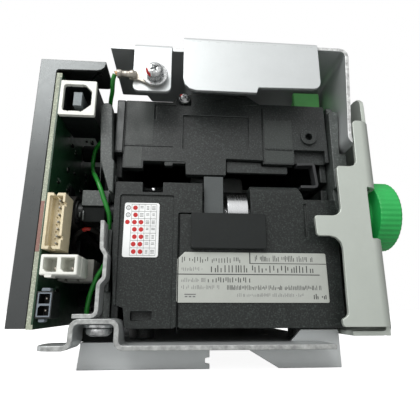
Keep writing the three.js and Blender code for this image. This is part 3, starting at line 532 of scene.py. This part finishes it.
# ------------------------ CAD shapes with rounded edges
# For each node: its material, and the width of its rounded edges.
refined = {
    "base_tray": ("zinc", 0.2), "cross_rail": ("zinc", 0.2), "side_link": ("zinc", 0.15),
    "right_bracket": ("grey_zinc", 0.18), "top_bracket": ("zinc", 0.15), "board_cover": ("satin", 0.2),
    # The controller chip and the capacitor are near-black to paint the deep shade they lie in.
    "lead_header": ("dark", 0.2), "controller_chip": ("shade_black", 0.15), "capacitor": ("shade_black", 0.2),
    "right_frame": ("rib", 0.3), "lower_housing": ("black", 0.35), "upper_housing": ("black", 0.35),
    "lower_left_cover": ("lower_black", 0.2), "lower_right_cover": ("lower_black", 0.2),
    "card_clip": ("clip_grey", 0.12), "front_plate": ("dark_grey", 0.4), "card_throat": ("green", 0.5),
    "drive_motor": ("steel", 0.2),
    "motor_pulley": ("black_metal", 0.1), "timing_belt": ("rubber", 0.15), "input_pulley": ("dark", 0.15),
    "shutter": ("steel", 0.15), "shutter_solenoid": ("steel", 0.2), "contact_block": ("dark_grey", 0.2),
    # The release lever's pale green partly paints light.
    "magnetic_head": ("steel", 0.2), "release_lever": ("lever_green", 0.3),
    "sensor_cable": ("cable_grey", 0.12),
}
finished = {}
for node, (material, width) in refined.items():
    finished[node] = refine(node, material, width)
for end in ("rear", "middle", "front"):
    finished["drive_shaft_" + end] = refine("drive_shaft_" + end, "steel", 0.1)
    refine("drive_tyre_" + end, "rubber", 0.15)
    refine("pinch_roller_" + end, "grey", 0.15)
finished["input_shaft"] = refine("input_shaft", "steel", 0.12)


def recolour(piece, key, chosen):
    """Gives another material to the faces whose middle and normal pass the test."""
    piece.data.materials.append(materials[key])
    index = len(piece.data.materials) - 1
    for polygon in piece.data.polygons:
        if chosen(TO_DRAWING @ polygon.center, polygon.normal):
            polygon.material_index = index


def ring(inner, outer, low, high, axis, a, b, segments=40, radius=0.12):
    """Closed ring with rounded edges round an axis."""
    corners = outline([(inner, low, radius), (outer, low, radius), (outer, high, radius),
                       (inner, high, radius)], 3)
    solid = lathe([*corners, corners[0]], axis, a, b, segments)
    bmesh.ops.remove_doubles(solid, verts=solid.verts, dist=WELD)
    bmesh.ops.recalc_face_normals(solid, faces=solid.faces)
    return solid


def cross(a, b, low, high, reach, half, turn, axis="y"):
    """Cross-shaped cutter for a screw's recess."""
    arms = [(reach, half), (half, half), (half, reach), (-half, reach), (-half, half), (-reach, half),
            (-reach, -half), (-half, -half), (-half, -reach), (half, -reach), (half, -half), (reach, -half)]
    c, s = math.cos(turn), math.sin(turn)
    return prism([(a + u * c - v * s, b + u * s + v * c) for u, v in arms], low, high, axis)


# ------------------------ left frame and its bearing block
left_frame = refine("left_frame", "rib", 0.3)
# Faces set back from the rear on the board's side are darker as painted shade, and the upper part's inner
# side is smooth.
recolour(left_frame, "shade_black", lambda p, n: p.y > 7.9 and p.z < 46.2 and p.x < -22.2)
recolour(left_frame, "shade_black", lambda p, n: p.y > 12.5 and p.x < -20.5)
recolour(left_frame, "dark", lambda p, n: p.z > 60 and p.x > -20.4)
# Where x is lower than this, the shafts and the pulley are blackened to paint the shade they lie in.
shaded_ends = {"input_shaft": 5, "input_pulley": 0, "drive_shaft_rear": 20, "drive_shaft_middle": 20,
             "drive_shaft_front": 20}
for node, edge in shaded_ends.items():
    recolour(finished[node], "black_metal", lambda p, n: p.x < edge)
latch = heap(block(-29.4, -28.9, 8.1, 8.8, 41.6, 44.6), block(-30.6, -30.1, 8.6, 9.4, 42.8, 44.2))
show(soften(latch, 0.12), "bearing_latch", "rib")

# ------------------------ sheet edges and rear covers
# Rear-facing edges of the sheets are bare and worn, and the lower cover's centre panel is smooth.
for node in ("cross_rail", "side_link"):
    recolour(finished[node], "cut_edge", lambda p, n: n.y < -0.9)
recolour(finished["top_bracket"], "wall_edge", lambda p, n: n.y < -0.9 and p.x > 50)
recolour(finished["lower_right_cover"], "panel_black", lambda p, n: n.y < -0.8 and p.y < 4.1)
cover_y, proud = 8.0, 0.1  # the upper rear cover's rear face, and how far its patches stand out of it
grooves = [block(25.7, 26.05, 7, cover_y + 0.35, 61, 81.2),
           block(20.4, 24.2, 7, cover_y + 0.3, 81.6, 81.95),
           block(-18.4, -3.2, 7, cover_y + 0.2, 65.9, 66.04),
           block(26.4, 35.6, 7, cover_y + 0.2, 66, 66.16)]
refine("upper_rear_cover", "black", 0.15, tools=grooves)
# Coarse patches whose paler colour paints the sheen of the light from the upper left, and a paler column at
# the left edge that paints a stronger sheen, thin enough to read as the cover's own surface.
patches = (("cover_grain_left", "worn", -18.1, -9.6, 66.5, 81.3),
           ("cover_grain_low", "worn", -18.2, -12.8, 59.0, 65.6),
           ("cover_grain_right", "worn", 26.4, 35.6, 66.6, 76.6),
           ("cover_grain_corner", "worn", 26.4, 35.5, 61.6, 65.7),
           ("cover_edge_column", "painted_sheen", -21.1, -19.1, 64.2, 81.4))
for name, key, x0, x1, z0, z1 in patches:
    sheet = prism(rounded_frame(x0, x1, z0, z1, 0.3), cover_y - 0.05, cover_y + proud)
    show(soften(sheet, 0.03, 1), name, key)
# Pale bars on the top and left edges of the panel's recess paint its highlights.
frame_bars = [block(-0.2, 21.3, cover_y - 0.06, cover_y + proud, 77.45, 77.6),
              block(-0.4, -0.25, cover_y - 0.06, cover_y + proud, 65.5, 77.5)]
show(soften(heap(*frame_bars), 0.04, 1), "cover_panel_highlight", "painted_sheen")
# Dark parts under the cover: a lip, and a small step beside its notch.
lip = outline([(14, 58.4, 0.4), (33.8, 58.4, 0.4), (33.8, 60.8, 0.3), (25.4, 60.8), (25.2, 62, 0.3),
               (14, 62.2, 0.3)])
show(soften(prism(lip, 9.4, 10.9), 0.15), "upper_mouth_lip", "black")
step = outline([(-5.7, 59.7, 0.3), (-3.3, 59.7, 0.3), (-3.1, 60.5), (0.7, 60.5, 0.2), (0.7, 62),
                (-5.7, 62)])
show(soften(prism(step, 8.2, 10.6), 0.12), "upper_cover_step", "black")
# Short marks along the fold of the top bracket's flap.
luck = random.Random(4)
fold_z, fold_pitch = 97.55, 1.18
folds = []
for k in range(34):
    x = 1.2 + fold_pitch * k + luck.uniform(-0.3, 0.3)
    if luck.random() < 0.75:
        end_x = x + luck.uniform(0.3, 1.1)
        folds.append(block(x, end_x, TAB_FACE - 0.065, TAB_FACE + 0.05, fold_z,
                           fold_z + luck.uniform(0.06, 0.16)))
show(heap(*folds), "flap_fold_marks", "fold_mark")
# A near-black strip in the seam between the lower covers paints the shade in its gap.
show(soften(block(-0.89, -0.61, 5.6, 6.4, 10, 43.4), 0.05), "cover_seam_shade", "shade_black")
# The left frame's foot is near-black to paint the shade it stands in.
foot = outline([(-28, 7.5, 0.3), (-15.9, 7.5, 0.3), (-15.9, 12.4, 0.6), (-16.6, 13.3, 0.6),
                (-27.4, 13.3, 0.6), (-28, 12.6, 0.4)])
show(soften(prism(foot, 10.75, 11.2), 0.1), "left_frame_foot", "shade_black")

# ------------------------ control board
low, high = edges_of("control_board")
board_face = high.x
board = refine("control_board", "board", 0.08)
recolour(board, "fibre", lambda p, n: abs(n.x) < 0.6)
stain = block(low.x + 0.05, low.x + 1, 0.02, 0.16, 31, 45)
show(soften(stain, 0.05), "board_edge_mark", "copper_red")
mask = block(board_face - 0.5, board_face - 0.03, 0.02, 0.14, 12.4, 84)
show(soften(mask, 0.04), "board_edge_mask", "board")
chance = random.Random(11)
# Lowest and highest y, then z, of the places that connectors, the chip, the capacitor and fixings take.
keep_clear = ((64, 92, 52, 80), (39, 53, 61, 75), (26, 34, 68, 76), (131, 139, 68, 76), (131, 139, 16, 24),
              (38, 46, 16, 24), (13, 34, 22, 40), (-1, 17, 70, 84), (-1, 9, 30, 49), (-1, 13, 23, 32),
              (-1, 9, 12, 22))
sizes = ((1.0, 0.5), (0.5, 1.0), (1.6, 0.8), (0.8, 1.6), (3.2, 2.4), (4.6, 4.6), (2.0, 1.2))
root = board_face - 0.05
chips, prints, pads = [], [], []
tries, print_pitch = 150, 0.8
for _ in range(tries):
    y, z = chance.uniform(2, 142), chance.uniform(13, 83)
    wide, tall = chance.choice(sizes)
    if any(y0 - wide < y < y1 and z0 - tall < z < z1 for y0, y1, z0, z1 in keep_clear):
        continue
    thick = 0.35 + 0.12 * wide
    chips.append(block(root, board_face + thick, y, y + wide, z, z + tall))
    pads.append(block(root, board_face + 0.12, y - 0.25, y + wide + 0.25, z + tall * 0.2, z + tall * 0.8))
    line = z + tall + 0.5
    for k in range(chance.randint(1, 4)):
        start = y + k * print_pitch
        prints.append(block(board_face - 0.02, board_face + 0.03, start, start + 0.45, line, line + 0.7))
# The components are near-black to paint the shade over the board.
show(soften(heap(*chips), 0.06, 1), "board_components", "shade_black")
# The pads take the darker dull solder colour to paint the same shade.
show(heap(*pads), "board_pads", "dull_solder")
show(heap(*prints), "board_print", "silk")

# ------------------------ usb socket
low, high = edges_of("usb_socket")
opening = outline([(low.x + 1.0, low.z + 1.3, 0.9), (high.x - 3.6, low.z + 1.3, 0.3),
                   (high.x - 1.2, low.z + 3.5, 0.3), (high.x - 1.2, high.z - 3.5, 0.3),
                   (high.x - 3.3, high.z - 1.3, 0.3), (low.x + 1.0, high.z - 1.3, 0.8)], 4)
rim_depth, rim_step = 1.4, 0.2
rim = prism(rounded_frame(low.x, high.x, low.z, high.z, 0.4), low.y, low.y + rim_depth)
nicks = [block(x, x + 0.45, low.y - 1, low.y + 2, z, z + 0.5)
         for x in (low.x + 2.5, low.x + 6.2) for z in (low.z + 1.1, high.z - 1.7)]
rim = cut(rim, prism(opening, low.y - 1, low.y + 2), *nicks)
show(soften(rim, 0.12), "usb_rim", "white", replaces=("usb_socket",))
shell = block(low.x + rim_step, high.x - rim_step, low.y + rim_depth, high.y,
              low.z + rim_step, high.z - rim_step)
show(soften(cut(shell, prism(opening, low.y + 1, 8.5)), 0.15), "usb_shell", "dark")
show(soften(block(-33.1, -30.6, 0.6, 8.8, 75.0, 79.5), 0.15), "usb_tongue", "tongue_grey")
# The tongue's base, deep in the socket, is near-black as painted shade.
show(soften(block(-33.5, -30.3, 4.2, 8.8, 73.4, 74.9), 0.15), "usb_tongue_base", "shade_black")

# ------------------------ seven-way header
low, high = edges_of("sensor_header")
header = block(low.x, high.x, low.y, high.y, low.z, high.z)
tools = [block(low.x + 0.8, high.x - 0.65, low.y - 1, 2.6, low.z + 0.85, high.z - 0.85)]
# A tapered notch in each end wall, and near each end a square one in the right-hand wall.
for z, sign in ((low.z, -1), (high.z, 1)):
    notch = [(-35.2, z + sign * 0.1), (-33.9, z + sign * 0.1), (-34.4, z - sign), (-34.7, z - sign)]
    tools.append(prism(notch, low.y - 1, 2.6))
    square_z = z - sign * 3.1
    tools.append(block(high.x - 1, high.x + 0.5, low.y - 1, 0.9, square_z - 0.5, square_z + 0.5))
pitch, ways = 2.0, 7
pin_heights = [(low.z + high.z) / 2 + (k - ways // 2) * pitch for k in range(ways)]
for z in pin_heights:
    tools.append(block(-33.55, -33.05, 2.2, 3.6, z - 0.2, z + 0.45))
    tools.append(block(-34.75, -34.35, 2.2, 3.2, z - 0.7, z - 0.3))
ridge = block(low.x + 0.7, low.x + 1.1, 0.4, 2.8, low.z + 0.6, high.z - 0.6)
show(soften(join(cut(header, *tools), ridge), 0.1), "seven_way_header", "beige",
     replaces=("sensor_header",))
pins = [block(-33.95, -33.5, 0.7, 3.2, z - 0.24, z + 0.24) for z in pin_heights]
show(soften(heap(*pins), 0.08), "seven_way_pins", "dull_solder")

# ------------------------ white two-way header
low, high = edges_of("power_header")
header = soften(block(low.x, high.x, low.y, high.y, low.z, high.z), 0.45, 3)
wall = 0.85
rib = wall * 0.6
middle = (low.x + high.x) / 2
bottom, top = low.z + wall, high.z - wall
tools = []
for left, right in ((low.x + wall, middle - rib), (middle + rib, high.x - wall)):
    # One lower corner of each socket is cut off.
    socket = outline([(left + 0.9, bottom), (right, bottom, 0.2), (right, top, 0.2), (left, top, 0.2),
                      (left, bottom + 0.9)])
    tools.append(prism(socket, low.y - 1, 6.4))
tools.append(block(high.x - 0.5, high.x + 1, 3.4, 3.9, low.z - 1, high.z + 1))
catch = block(middle - 3.4, middle - 1.6, low.y + 0.1, 3, low.z - 0.55, low.z + 0.2)
show(soften(join(cut(header, *tools), catch), 0.1), "two_way_header", "white",
     replaces=("power_header",))
pin_profile = rounded([(0, 1.6), (0.42, 1.9), (0.55, 2.3), (0.55, 6.6), (0, 6.6)], 0.1)
pins = [lathe(pin_profile, "y", x, bottom + 1.1, 16) for x in (middle - rib - 0.95, high.x - wall - 0.95)]
show(heap(*pins), "two_way_pins", "tin")

# The second header, behind it, has two upright slots and a groove across its top, and its white is greyed
# to paint the shade it stands in.
low, high = edges_of("second_header")
grooves = (block(-34.6, -34.1, 12, 18, 20, 40), block(-31, -30.5, 12, 18, 20, 40),
           block(low.x - 1, high.x + 1, 18, 18.5, high.z - 0.6, high.z + 1))
refine("second_header", "shaded_white", 0.25, tools=grooves)

# ------------------------ black two-way header
low, high = edges_of("aux_header")
keyed_cavity = [(-36.2, 14.6, 0.1), (-33.4, 14.6, 0.1), (-33.4, 17.1, 0.1), (-35.7, 17.1), (-36.2, 16.6)]
cavities = [outline(keyed_cavity), rounded_frame(-36.2, -33.4, 17.6, 20.1, 0.1)]


def cavity_tools():
    return [prism(cavity, low.y - 1, 4.6) for cavity in cavities]


header = block(low.x, high.x, low.y + 0.05, high.y, low.z, high.z)
show(soften(cut(header, *cavity_tools()), 0.1), "black_header", "dark",
     replaces=("aux_header",))
frame_line = prism(rounded_frame(-36.5, -33.1, 14.3, 20.4, 0.15), low.y, low.y + 0.12)
show(cut(frame_line, *cavity_tools()), "black_header_line", "pale_blue")
peg_outlines = ([(-36, 20.8, 0.2), (-33.6, 20.8, 0.2), (-33.8, 21.6, 0.3), (-35.8, 21.6, 0.3)],
                [(-35.9, 13.0, 0.3), (-34.5, 13.0, 0.3), (-34.3, 13.8, 0.2), (-36, 13.8, 0.2)])
pegs = [soften(prism(outline(corners), 0.7, 3), 0.1) for corners in peg_outlines]
show(heap(*pegs), "black_header_pegs", "pale_blue")
pins = [block(-34.9, -34.5, 1.6, 4.8, z - 0.2, z + 0.2) for z in (15.9, 18.9)]
show(soften(heap(*pins), 0.06), "black_header_pins", "tin")

# ------------------------ earth connection
earth_x, earth_z = -8.8, 84.1
front = TAB_FACE - 4.6  # the foremost point of the screw's head
head_profile = outline([(0, front), (1.2, front + 0.02), (2.05, front + 0.3, 0.5), (2.5, front + 0.95, 0.4),
                        (2.5, front + 1.7, 0.1), (1.5, front + 1.75), (1.5, 2), (0, 2)], 4, False)
head = lathe(head_profile, "y", earth_x, earth_z, 48)
head = cut(head, cross(earth_x, earth_z, front - 1, front + 0.75, 1.35, 0.26, 0.5),
           cross(earth_x, earth_z, front - 1, front + 1.2, 0.75, 0.4, 0.5))
show(soften(head, 0.06), "earth_screw_head", "chrome", replaces=("earth_screw",))
split = block(earth_x + 1.2, earth_x + 3, front, -2, earth_z - 1.2, earth_z - 0.9)
spring_washer = ring(1.6, 2.7, TAB_FACE - 2.85, TAB_FACE - 1.75, "y", earth_x, earth_z, radius=0.08)
show(cut(spring_washer, split), "earth_spring_washer", "chrome")
flat_washer = ring(1.6, 3.8, TAB_FACE - 1.7, TAB_FACE - 1.05, "y", earth_x, earth_z, 56)
show(flat_washer, "earth_flat_washer", "chrome")
# A dab of red paint lies over the left side of the head.
film = lathe([(0, front - 0.02), (1.6, front), (2.1, front + 0.28), (2.53, front + 0.9),
              (2.53, front + 1.3), (0, front + 1.3)], "y", earth_x, earth_z, 48)
dab = [(earth_x - 2.0, earth_z - 0.1), (earth_x - 3.4, earth_z + 0.5), (earth_x - 3.4, earth_z - 3),
       (earth_x - 1.0, earth_z - 3.4), (earth_x - 1.1, earth_z - 1.9), (earth_x - 1.8, earth_z - 1.2)]
show(common(film, prism(dab, front - 1, 0)), "paint_mark", "red_ink")

# The ring terminal: a flat tongue round the screw, and a barrel crimped on the wire.
tongue = outline([(-16.4, 82.5), (-13.4, 82.2, 1), (-10.6, 80.9, 1.2), (-8.8, 80.55, 2.6),
                  (-5.25, 84.1, 2.6), (-8.8, 87.65, 2.6), (-11.6, 86.7, 1.2), (-13.4, 85.4, 1),
                  (-16.4, 84.9)], 8)
plate = prism(tongue, TAB_FACE - 0.9, TAB_FACE - 0.1)
barrel_profile = outline([(0, -14.2), (0.9, -14.2), (1.25, -15.2, 0.4), (1.25, -15.9), (1.0, -16.5, 0.3),
                          (1.05, -17.2, 0.3), (0.95, -18.2, 0.3), (1.22, -18.8, 0.3), (1.32, -19.8, 0.1),
                          (1.0, -19.8), (0.95, -17.4), (0, -17.4)], 4, False)
barrel = lathe(barrel_profile, "x", BARREL_Y, BARREL_Z, 40)
crimp_from, crimp_to, crimp_squeeze = -18.6, -16.2, 0.86
for vert in barrel.verts:
    if crimp_from < vert.co.x < crimp_to:
        vert.co.y = BARREL_Y + (vert.co.y - BARREL_Y) * crimp_squeeze
terminal = heap(soften(plate, 0.14), barrel)
show(terminal, "ring_terminal_body", "tin", replaces=("ring_terminal",))
strands = []
strand_ring, strand_radius = 0.55, 0.16
for k in range(9):
    angle = 0.7 * k
    extra = 0.12 * (k % 4)
    strand = [(0, -20.5 - extra), (strand_radius, -20.4 - extra), (strand_radius, -17), (0, -17)]
    strand_y = BARREL_Y + strand_ring * math.cos(angle)
    strand_z = BARREL_Z + strand_ring * math.sin(angle)
    strands.append(lathe(rounded(strand, 0.05), "x", strand_y, strand_z, 8))
show(heap(*strands), "wire_strands", "copper")

# ------------------------ other screws
# The screw under the rail's raised section, with its washer.
x, y = -21.4, 5.3
profile = rounded([(0, 9.3), (2.3, 9.32), (3.2, 9.8), (3.45, 10.4), (3.45, 11.35), (1.9, 11.45),
                   (1.8, 13.6), (0, 13.6)], 0.3, 4)
head = cut(lathe(profile, "z", x, y, 48), cross(x, y, 9, 10.1, 1.5, 0.3, 0.3, "z"))
show(soften(head, 0.08), "hat_screw_head", "chrome", replaces=("hat_screw",))
show(ring(1.9, 4.1, 11.5, 12.3, "z", x, y, 48), "hat_screw_washer", "chrome")
# The upper cover's screw, with a red mark, and a small screw end that shows between the covers.
x, z = 0.2, 83.1
profile = rounded([(0, 6.7), (1.1, 6.7), (1.75, 7.0), (1.95, 7.5), (1.95, 8.7), (0, 8.7)], 0.2)
head = cut(lathe(profile, "y", x, z, 36), cross(x, z, 6, 7.3, 0.9, 0.2, 0.6))
show(head, "cover_screw_head", "chrome", replaces=("cover_screw",))
mark = block(x - 1.5, x - 0.6, 6.72, 7.4, z + 0.4, z + 1.1)
show(soften(mark, 0.1), "cover_screw_mark", "red_ink")
x, z = -8.8, 51.9
profile = rounded([(0, 8.6), (0.4, 8.6), (0.65, 8.9), (0.65, 10.4), (0, 10.4)], 0.15)
show(lathe(profile, "y", x, z, 24), "notch_screw", "chrome")

# ------------------------ knob
axis_y, axis_z = 12, 45.2
flutes, flute_depth = 44, 0.12
grip_radius, grip_start = 10.3, 58


def fluted(angle, radius, along):
    """The radius at an angle, with shallow flutes round the grip."""
    is_grip = radius > grip_radius and along > grip_start
    return radius - (flute_depth / 2 * (1 - math.cos(flutes * angle)) if is_grip else 0)


face = edges_of("hand_knob")[1].x
profile = [(0, face - 0.9), (2.4, face - 0.9), (2.7, face - 0.6), (8.6, face - 0.6), (9.3, face - 0.05),
           (10, face), (10.6, face - 0.25), (11, face - 0.8), (11, 59.7), (10.7, 59.1), (10.2, 58.9),
           (6.1, 58.9), (5.9, 58.7), (5.9, 52.6), (5.7, 52.4), (2.7, 52.4), (2.7, 53), (0, 53)]
knob = lathe(profile, "x", axis_y, axis_z, flutes * 8, fluted)
show(knob, "knob", "green", "knob_train", ("hand_knob",), 28)


# ------------------------ labels
INK_OUT, INK_IN = 0.03, 0.02  # how far print stands out of its label, and reaches into it
DOT_OUT = 0.04  # the same for the dots and rings


def label_spot(box, across, down):
    """x and z of a place on a label, from fractions of its width and height."""
    x0, x1, z0, z1 = box[:4]
    return x0 + (x1 - x0) * across, z1 - (z1 - z0) * down


def bar(box, x0, x1, z0, z1):
    """A flat bar of print on the label's face."""
    return block(x0, x1, box[4] - INK_OUT, box[4] + INK_IN, z0, z1)


def words(box, left, right, top, bottom, weight, gap, seed):
    """A row of plain upright strokes in place of print. Places are fractions of the label's box."""
    luck = random.Random(seed)
    x, high = label_spot(box, left, top)
    stop, deep = label_spot(box, right, bottom)
    size = high - deep
    marks = []
    while x < stop - weight:
        foot = deep + size * luck.choice((0, 0, 0, 0.3))
        head = high - size * luck.choice((0, 0, 0.2, 0.4))
        marks.append(bar(box, x, x + weight, foot, head))
        x += weight + size * gap * luck.choice((0.3, 0.45, 0.6))
        if luck.random() < 0.1:
            x += size * 0.4
    return marks


def rule(box, left, right, top, bottom):
    """A ruled line. Places are fractions of the label's box."""
    x0, high = label_spot(box, left, top)
    x1, deep = label_spot(box, right, bottom)
    return bar(box, x0, x1, deep, high)


low, high = edges_of("serial_plate")
plate = prism(outline([(low.x, low.z, 0.5), (high.x, low.z, 0.5), (high.x - 0.2, high.z, 0.5),
                       (low.x + 2.1, high.z, 0.3), (low.x, high.z - 2.1, 0.3)]), low.y, high.y)
show(soften(plate, 0.06), "serial_label", "silver_film", replaces=("serial_plate",))
box = (low.x, high.x, low.z, high.z, low.y)
# Each row of strokes: left, right, top, bottom, weight, gap and seed.
dark_rows = ((0.03, 0.415, 0.1, 0.215, 0.2, 0.62, 3), (0.513, 0.925, 0.056, 0.178, 0.18, 0.42, 4),
             (0.22, 0.905, 0.262, 0.405, 0.27, 0.72, 5), (0.2, 0.49, 0.505, 0.605, 0.24, 0.8, 6),
             (0.325, 0.95, 0.66, 0.75, 0.16, 0.42, 7), (0.895, 0.98, 0.825, 0.93, 0.26, 0.5, 8))
light_rows = ((0.03, 0.17, 0.3, 0.38, 0.13, 0.66, 9), (0.03, 0.185, 0.52, 0.6, 0.13, 0.6, 10),
              (0.03, 0.28, 0.66, 0.74, 0.12, 0.62, 12), (0.39, 0.83, 0.815, 0.885, 0.12, 0.66, 13))
dark_marks = [rule(box, 0.0, 0.945, 0.437, 0.455), rule(box, 0.475, 0.482, 0.0, 0.225),
              rule(box, 0.475, 0.995, 0.215, 0.229)]
for row in dark_rows:
    dark_marks += words(box, *row)
show(heap(*dark_marks), "serial_print_dark", "ink")
light_marks = []
for row in light_rows:
    light_marks += words(box, *row)
light_marks += [rule(box, 0.05, 0.123, 0.83, 0.85)]
light_marks += [rule(box, 0.053 + 0.025 * k, 0.07 + 0.025 * k, 0.872, 0.895) for k in range(3)]
show(heap(*light_marks), "serial_print_light", "pale_ink")

low, high = edges_of("setting_label")
plate = prism(rounded_frame(low.x, high.x, low.z, high.z, 0.7), low.y, high.y)
show(soften(plate, 0.05), "setting_sheet", "paper", replaces=("setting_label",))
box = (low.x, high.x, low.z, high.z, low.y)
columns = (0.205, 0.41, 0.58, 0.753, 0.918)
rows = [0.03 + 0.134 * k for k in range(8)]
lines = [rule(box, c - 0.004, c + 0.004, rows[0], rows[-1]) for c in columns]
lines += [rule(box, columns[0], columns[-1], row - 0.003, row + 0.003) for row in rows]
show(heap(*lines), "setting_grid", "pale_ink")


def dash(x, z, half_length, half_width):
    return bar(box, x - half_length, x + half_length, z - half_width, z + half_width)


# Red dots fill the first ruled column and the lower rows of the second, and one stands left of the grid.
centres = [(a + b) / 2 for a, b in zip(rows, rows[1:])]
dot_columns = (0.11, 0.308, 0.495)
dot_places = [(dot_columns[1], row) for row in centres] + [(dot_columns[2], row) for row in centres[2:]]
dot_places += [(dot_columns[0], centres[2])]
dots = []
dot_radius, unevenness = 0.68, 0.012
for column, row in dot_places:
    x, z = label_spot(box, column + unevenness * math.sin(63 * row), row)
    dots.append(lathe([(0, low.y - DOT_OUT), (dot_radius, low.y - DOT_OUT), (dot_radius, low.y + INK_IN),
                       (0, low.y + INK_IN)], "y", x, z, 20))
show(heap(*dots), "setting_dots", "red_ink")

# Short dashes stand for signs in the other places: two or three levels of them, in three widths.
rings, signs = [], []
for k, row in enumerate(centres):
    for column, form in ((0.667, k), (0.835, k + 2), (dot_columns[2], k + 1)):
        if column == dot_columns[2] and k > 1:
            continue
        x, z = label_spot(box, column, row)
        for level in (-0.4, 0.0, 0.4)[form % 2 :]:
            signs.append(dash(x, z + level, 0.36 + 0.08 * (form % 3), 0.08))
for row in centres[:2]:
    x, z = label_spot(box, dot_columns[0], row)
    rings.append(ring(0.5, 0.7, low.y - DOT_OUT, low.y + INK_IN, "y", x, z, 24, 0.02))
    signs += [dash(x, z + level, 0.3, 0.06) for level in (-0.2, 0.2)]
show(heap(*rings, *signs), "setting_signs", "pale_ink")

# ------------------------ floor and light
WHITE = (1, 1, 1, 1)
FLOOR_REACH = 6
FLOOR_GLOW = 0.93
floor_mesh = bpy.data.meshes.new("floor")
floor_corners = [(-FLOOR_REACH, -FLOOR_REACH, 0), (FLOOR_REACH, -FLOOR_REACH, 0),
                 (FLOOR_REACH, FLOOR_REACH, 0), (-FLOOR_REACH, FLOOR_REACH, 0)]
floor_mesh.from_pydata(floor_corners, [], [(0, 1, 2, 3)])
floor = add_object("floor", floor_mesh)


def direct_mix(tree, usual, seen, output):
    """Joins two shaders: the usual one for light that bounces, and another for what is seen directly."""
    path = tree.nodes.new("ShaderNodeLightPath")
    mix = tree.nodes.new("ShaderNodeMixShader")
    tree.links.new(path.outputs["Is Camera Ray"], mix.inputs[0])
    tree.links.new(usual.outputs[0], mix.inputs[1])
    tree.links.new(seen.outputs[0], mix.inputs[2])
    tree.links.new(mix.outputs[0], tree.nodes[output].inputs["Surface"])


floor_material, floor_tree, floor_shader = new_material("pale floor", 0.9, specular=0.1)
floor_shader.inputs["Base Color"].default_value = (0.5, 0.5, 0.5, 1)
floor_glow = floor_tree.nodes.new("ShaderNodeEmission")
floor_glow.inputs["Color"].default_value = WHITE
floor_glow.inputs["Strength"].default_value = FLOOR_GLOW
floor_add = floor_tree.nodes.new("ShaderNodeAddShader")
floor_tree.links.new(floor_shader.outputs[0], floor_add.inputs[0])
floor_tree.links.new(floor_glow.outputs[0], floor_add.inputs[1])
direct_mix(floor_tree, floor_shader, floor_add, "Material Output")
floor_mesh.materials.append(floor_material)

# The studio is brightest to the left, behind and above the camera, and dim on the far side.
STUDIO_BRIGHT_SIDE = Vector((-0.45, -0.8, 0.4)).normalized()
STUDIO_DIM, STUDIO_BRIGHT = 0.14, 1.12
world = bpy.data.worlds.new("studio")
bpy.context.scene.world = world
world.use_nodes = True
sky = world.node_tree
sky_direction = sky.nodes.new("ShaderNodeTexCoord")
toward = sky.nodes.new("ShaderNodeVectorMath")
toward.operation = "DOT_PRODUCT"
toward.inputs[1].default_value = STUDIO_BRIGHT_SIDE
sky.links.new(sky_direction.outputs["Generated"], toward.inputs[0])
sky_background = sky.nodes["Background"]
sky_background.inputs["Color"].default_value = WHITE
sky_level = spread(sky, toward.outputs["Value"], STUDIO_DIM, STUDIO_BRIGHT, -0.4, 1.0)
sky.links.new(sky_level, sky_background.inputs["Strength"])
sky_seen = sky.nodes.new("ShaderNodeBackground")
sky_seen.inputs["Color"].default_value = WHITE
direct_mix(sky, sky_background, sky_seen, "World Output")

key_data = bpy.data.lights.new("key", "AREA")
key_data.shape = "RECTANGLE"
key_data.size, key_data.size_y = 0.4, 0.32
key_data.energy = 3.3
key = add_object("key", key_data)
key.location = (-0.30, -0.55, 0.50)
KEY_TARGET = Vector((-0.015, -0.09, 0.06))
key.rotation_euler = (KEY_TARGET - key.location).to_track_quat("-Z", "Y").to_euler()
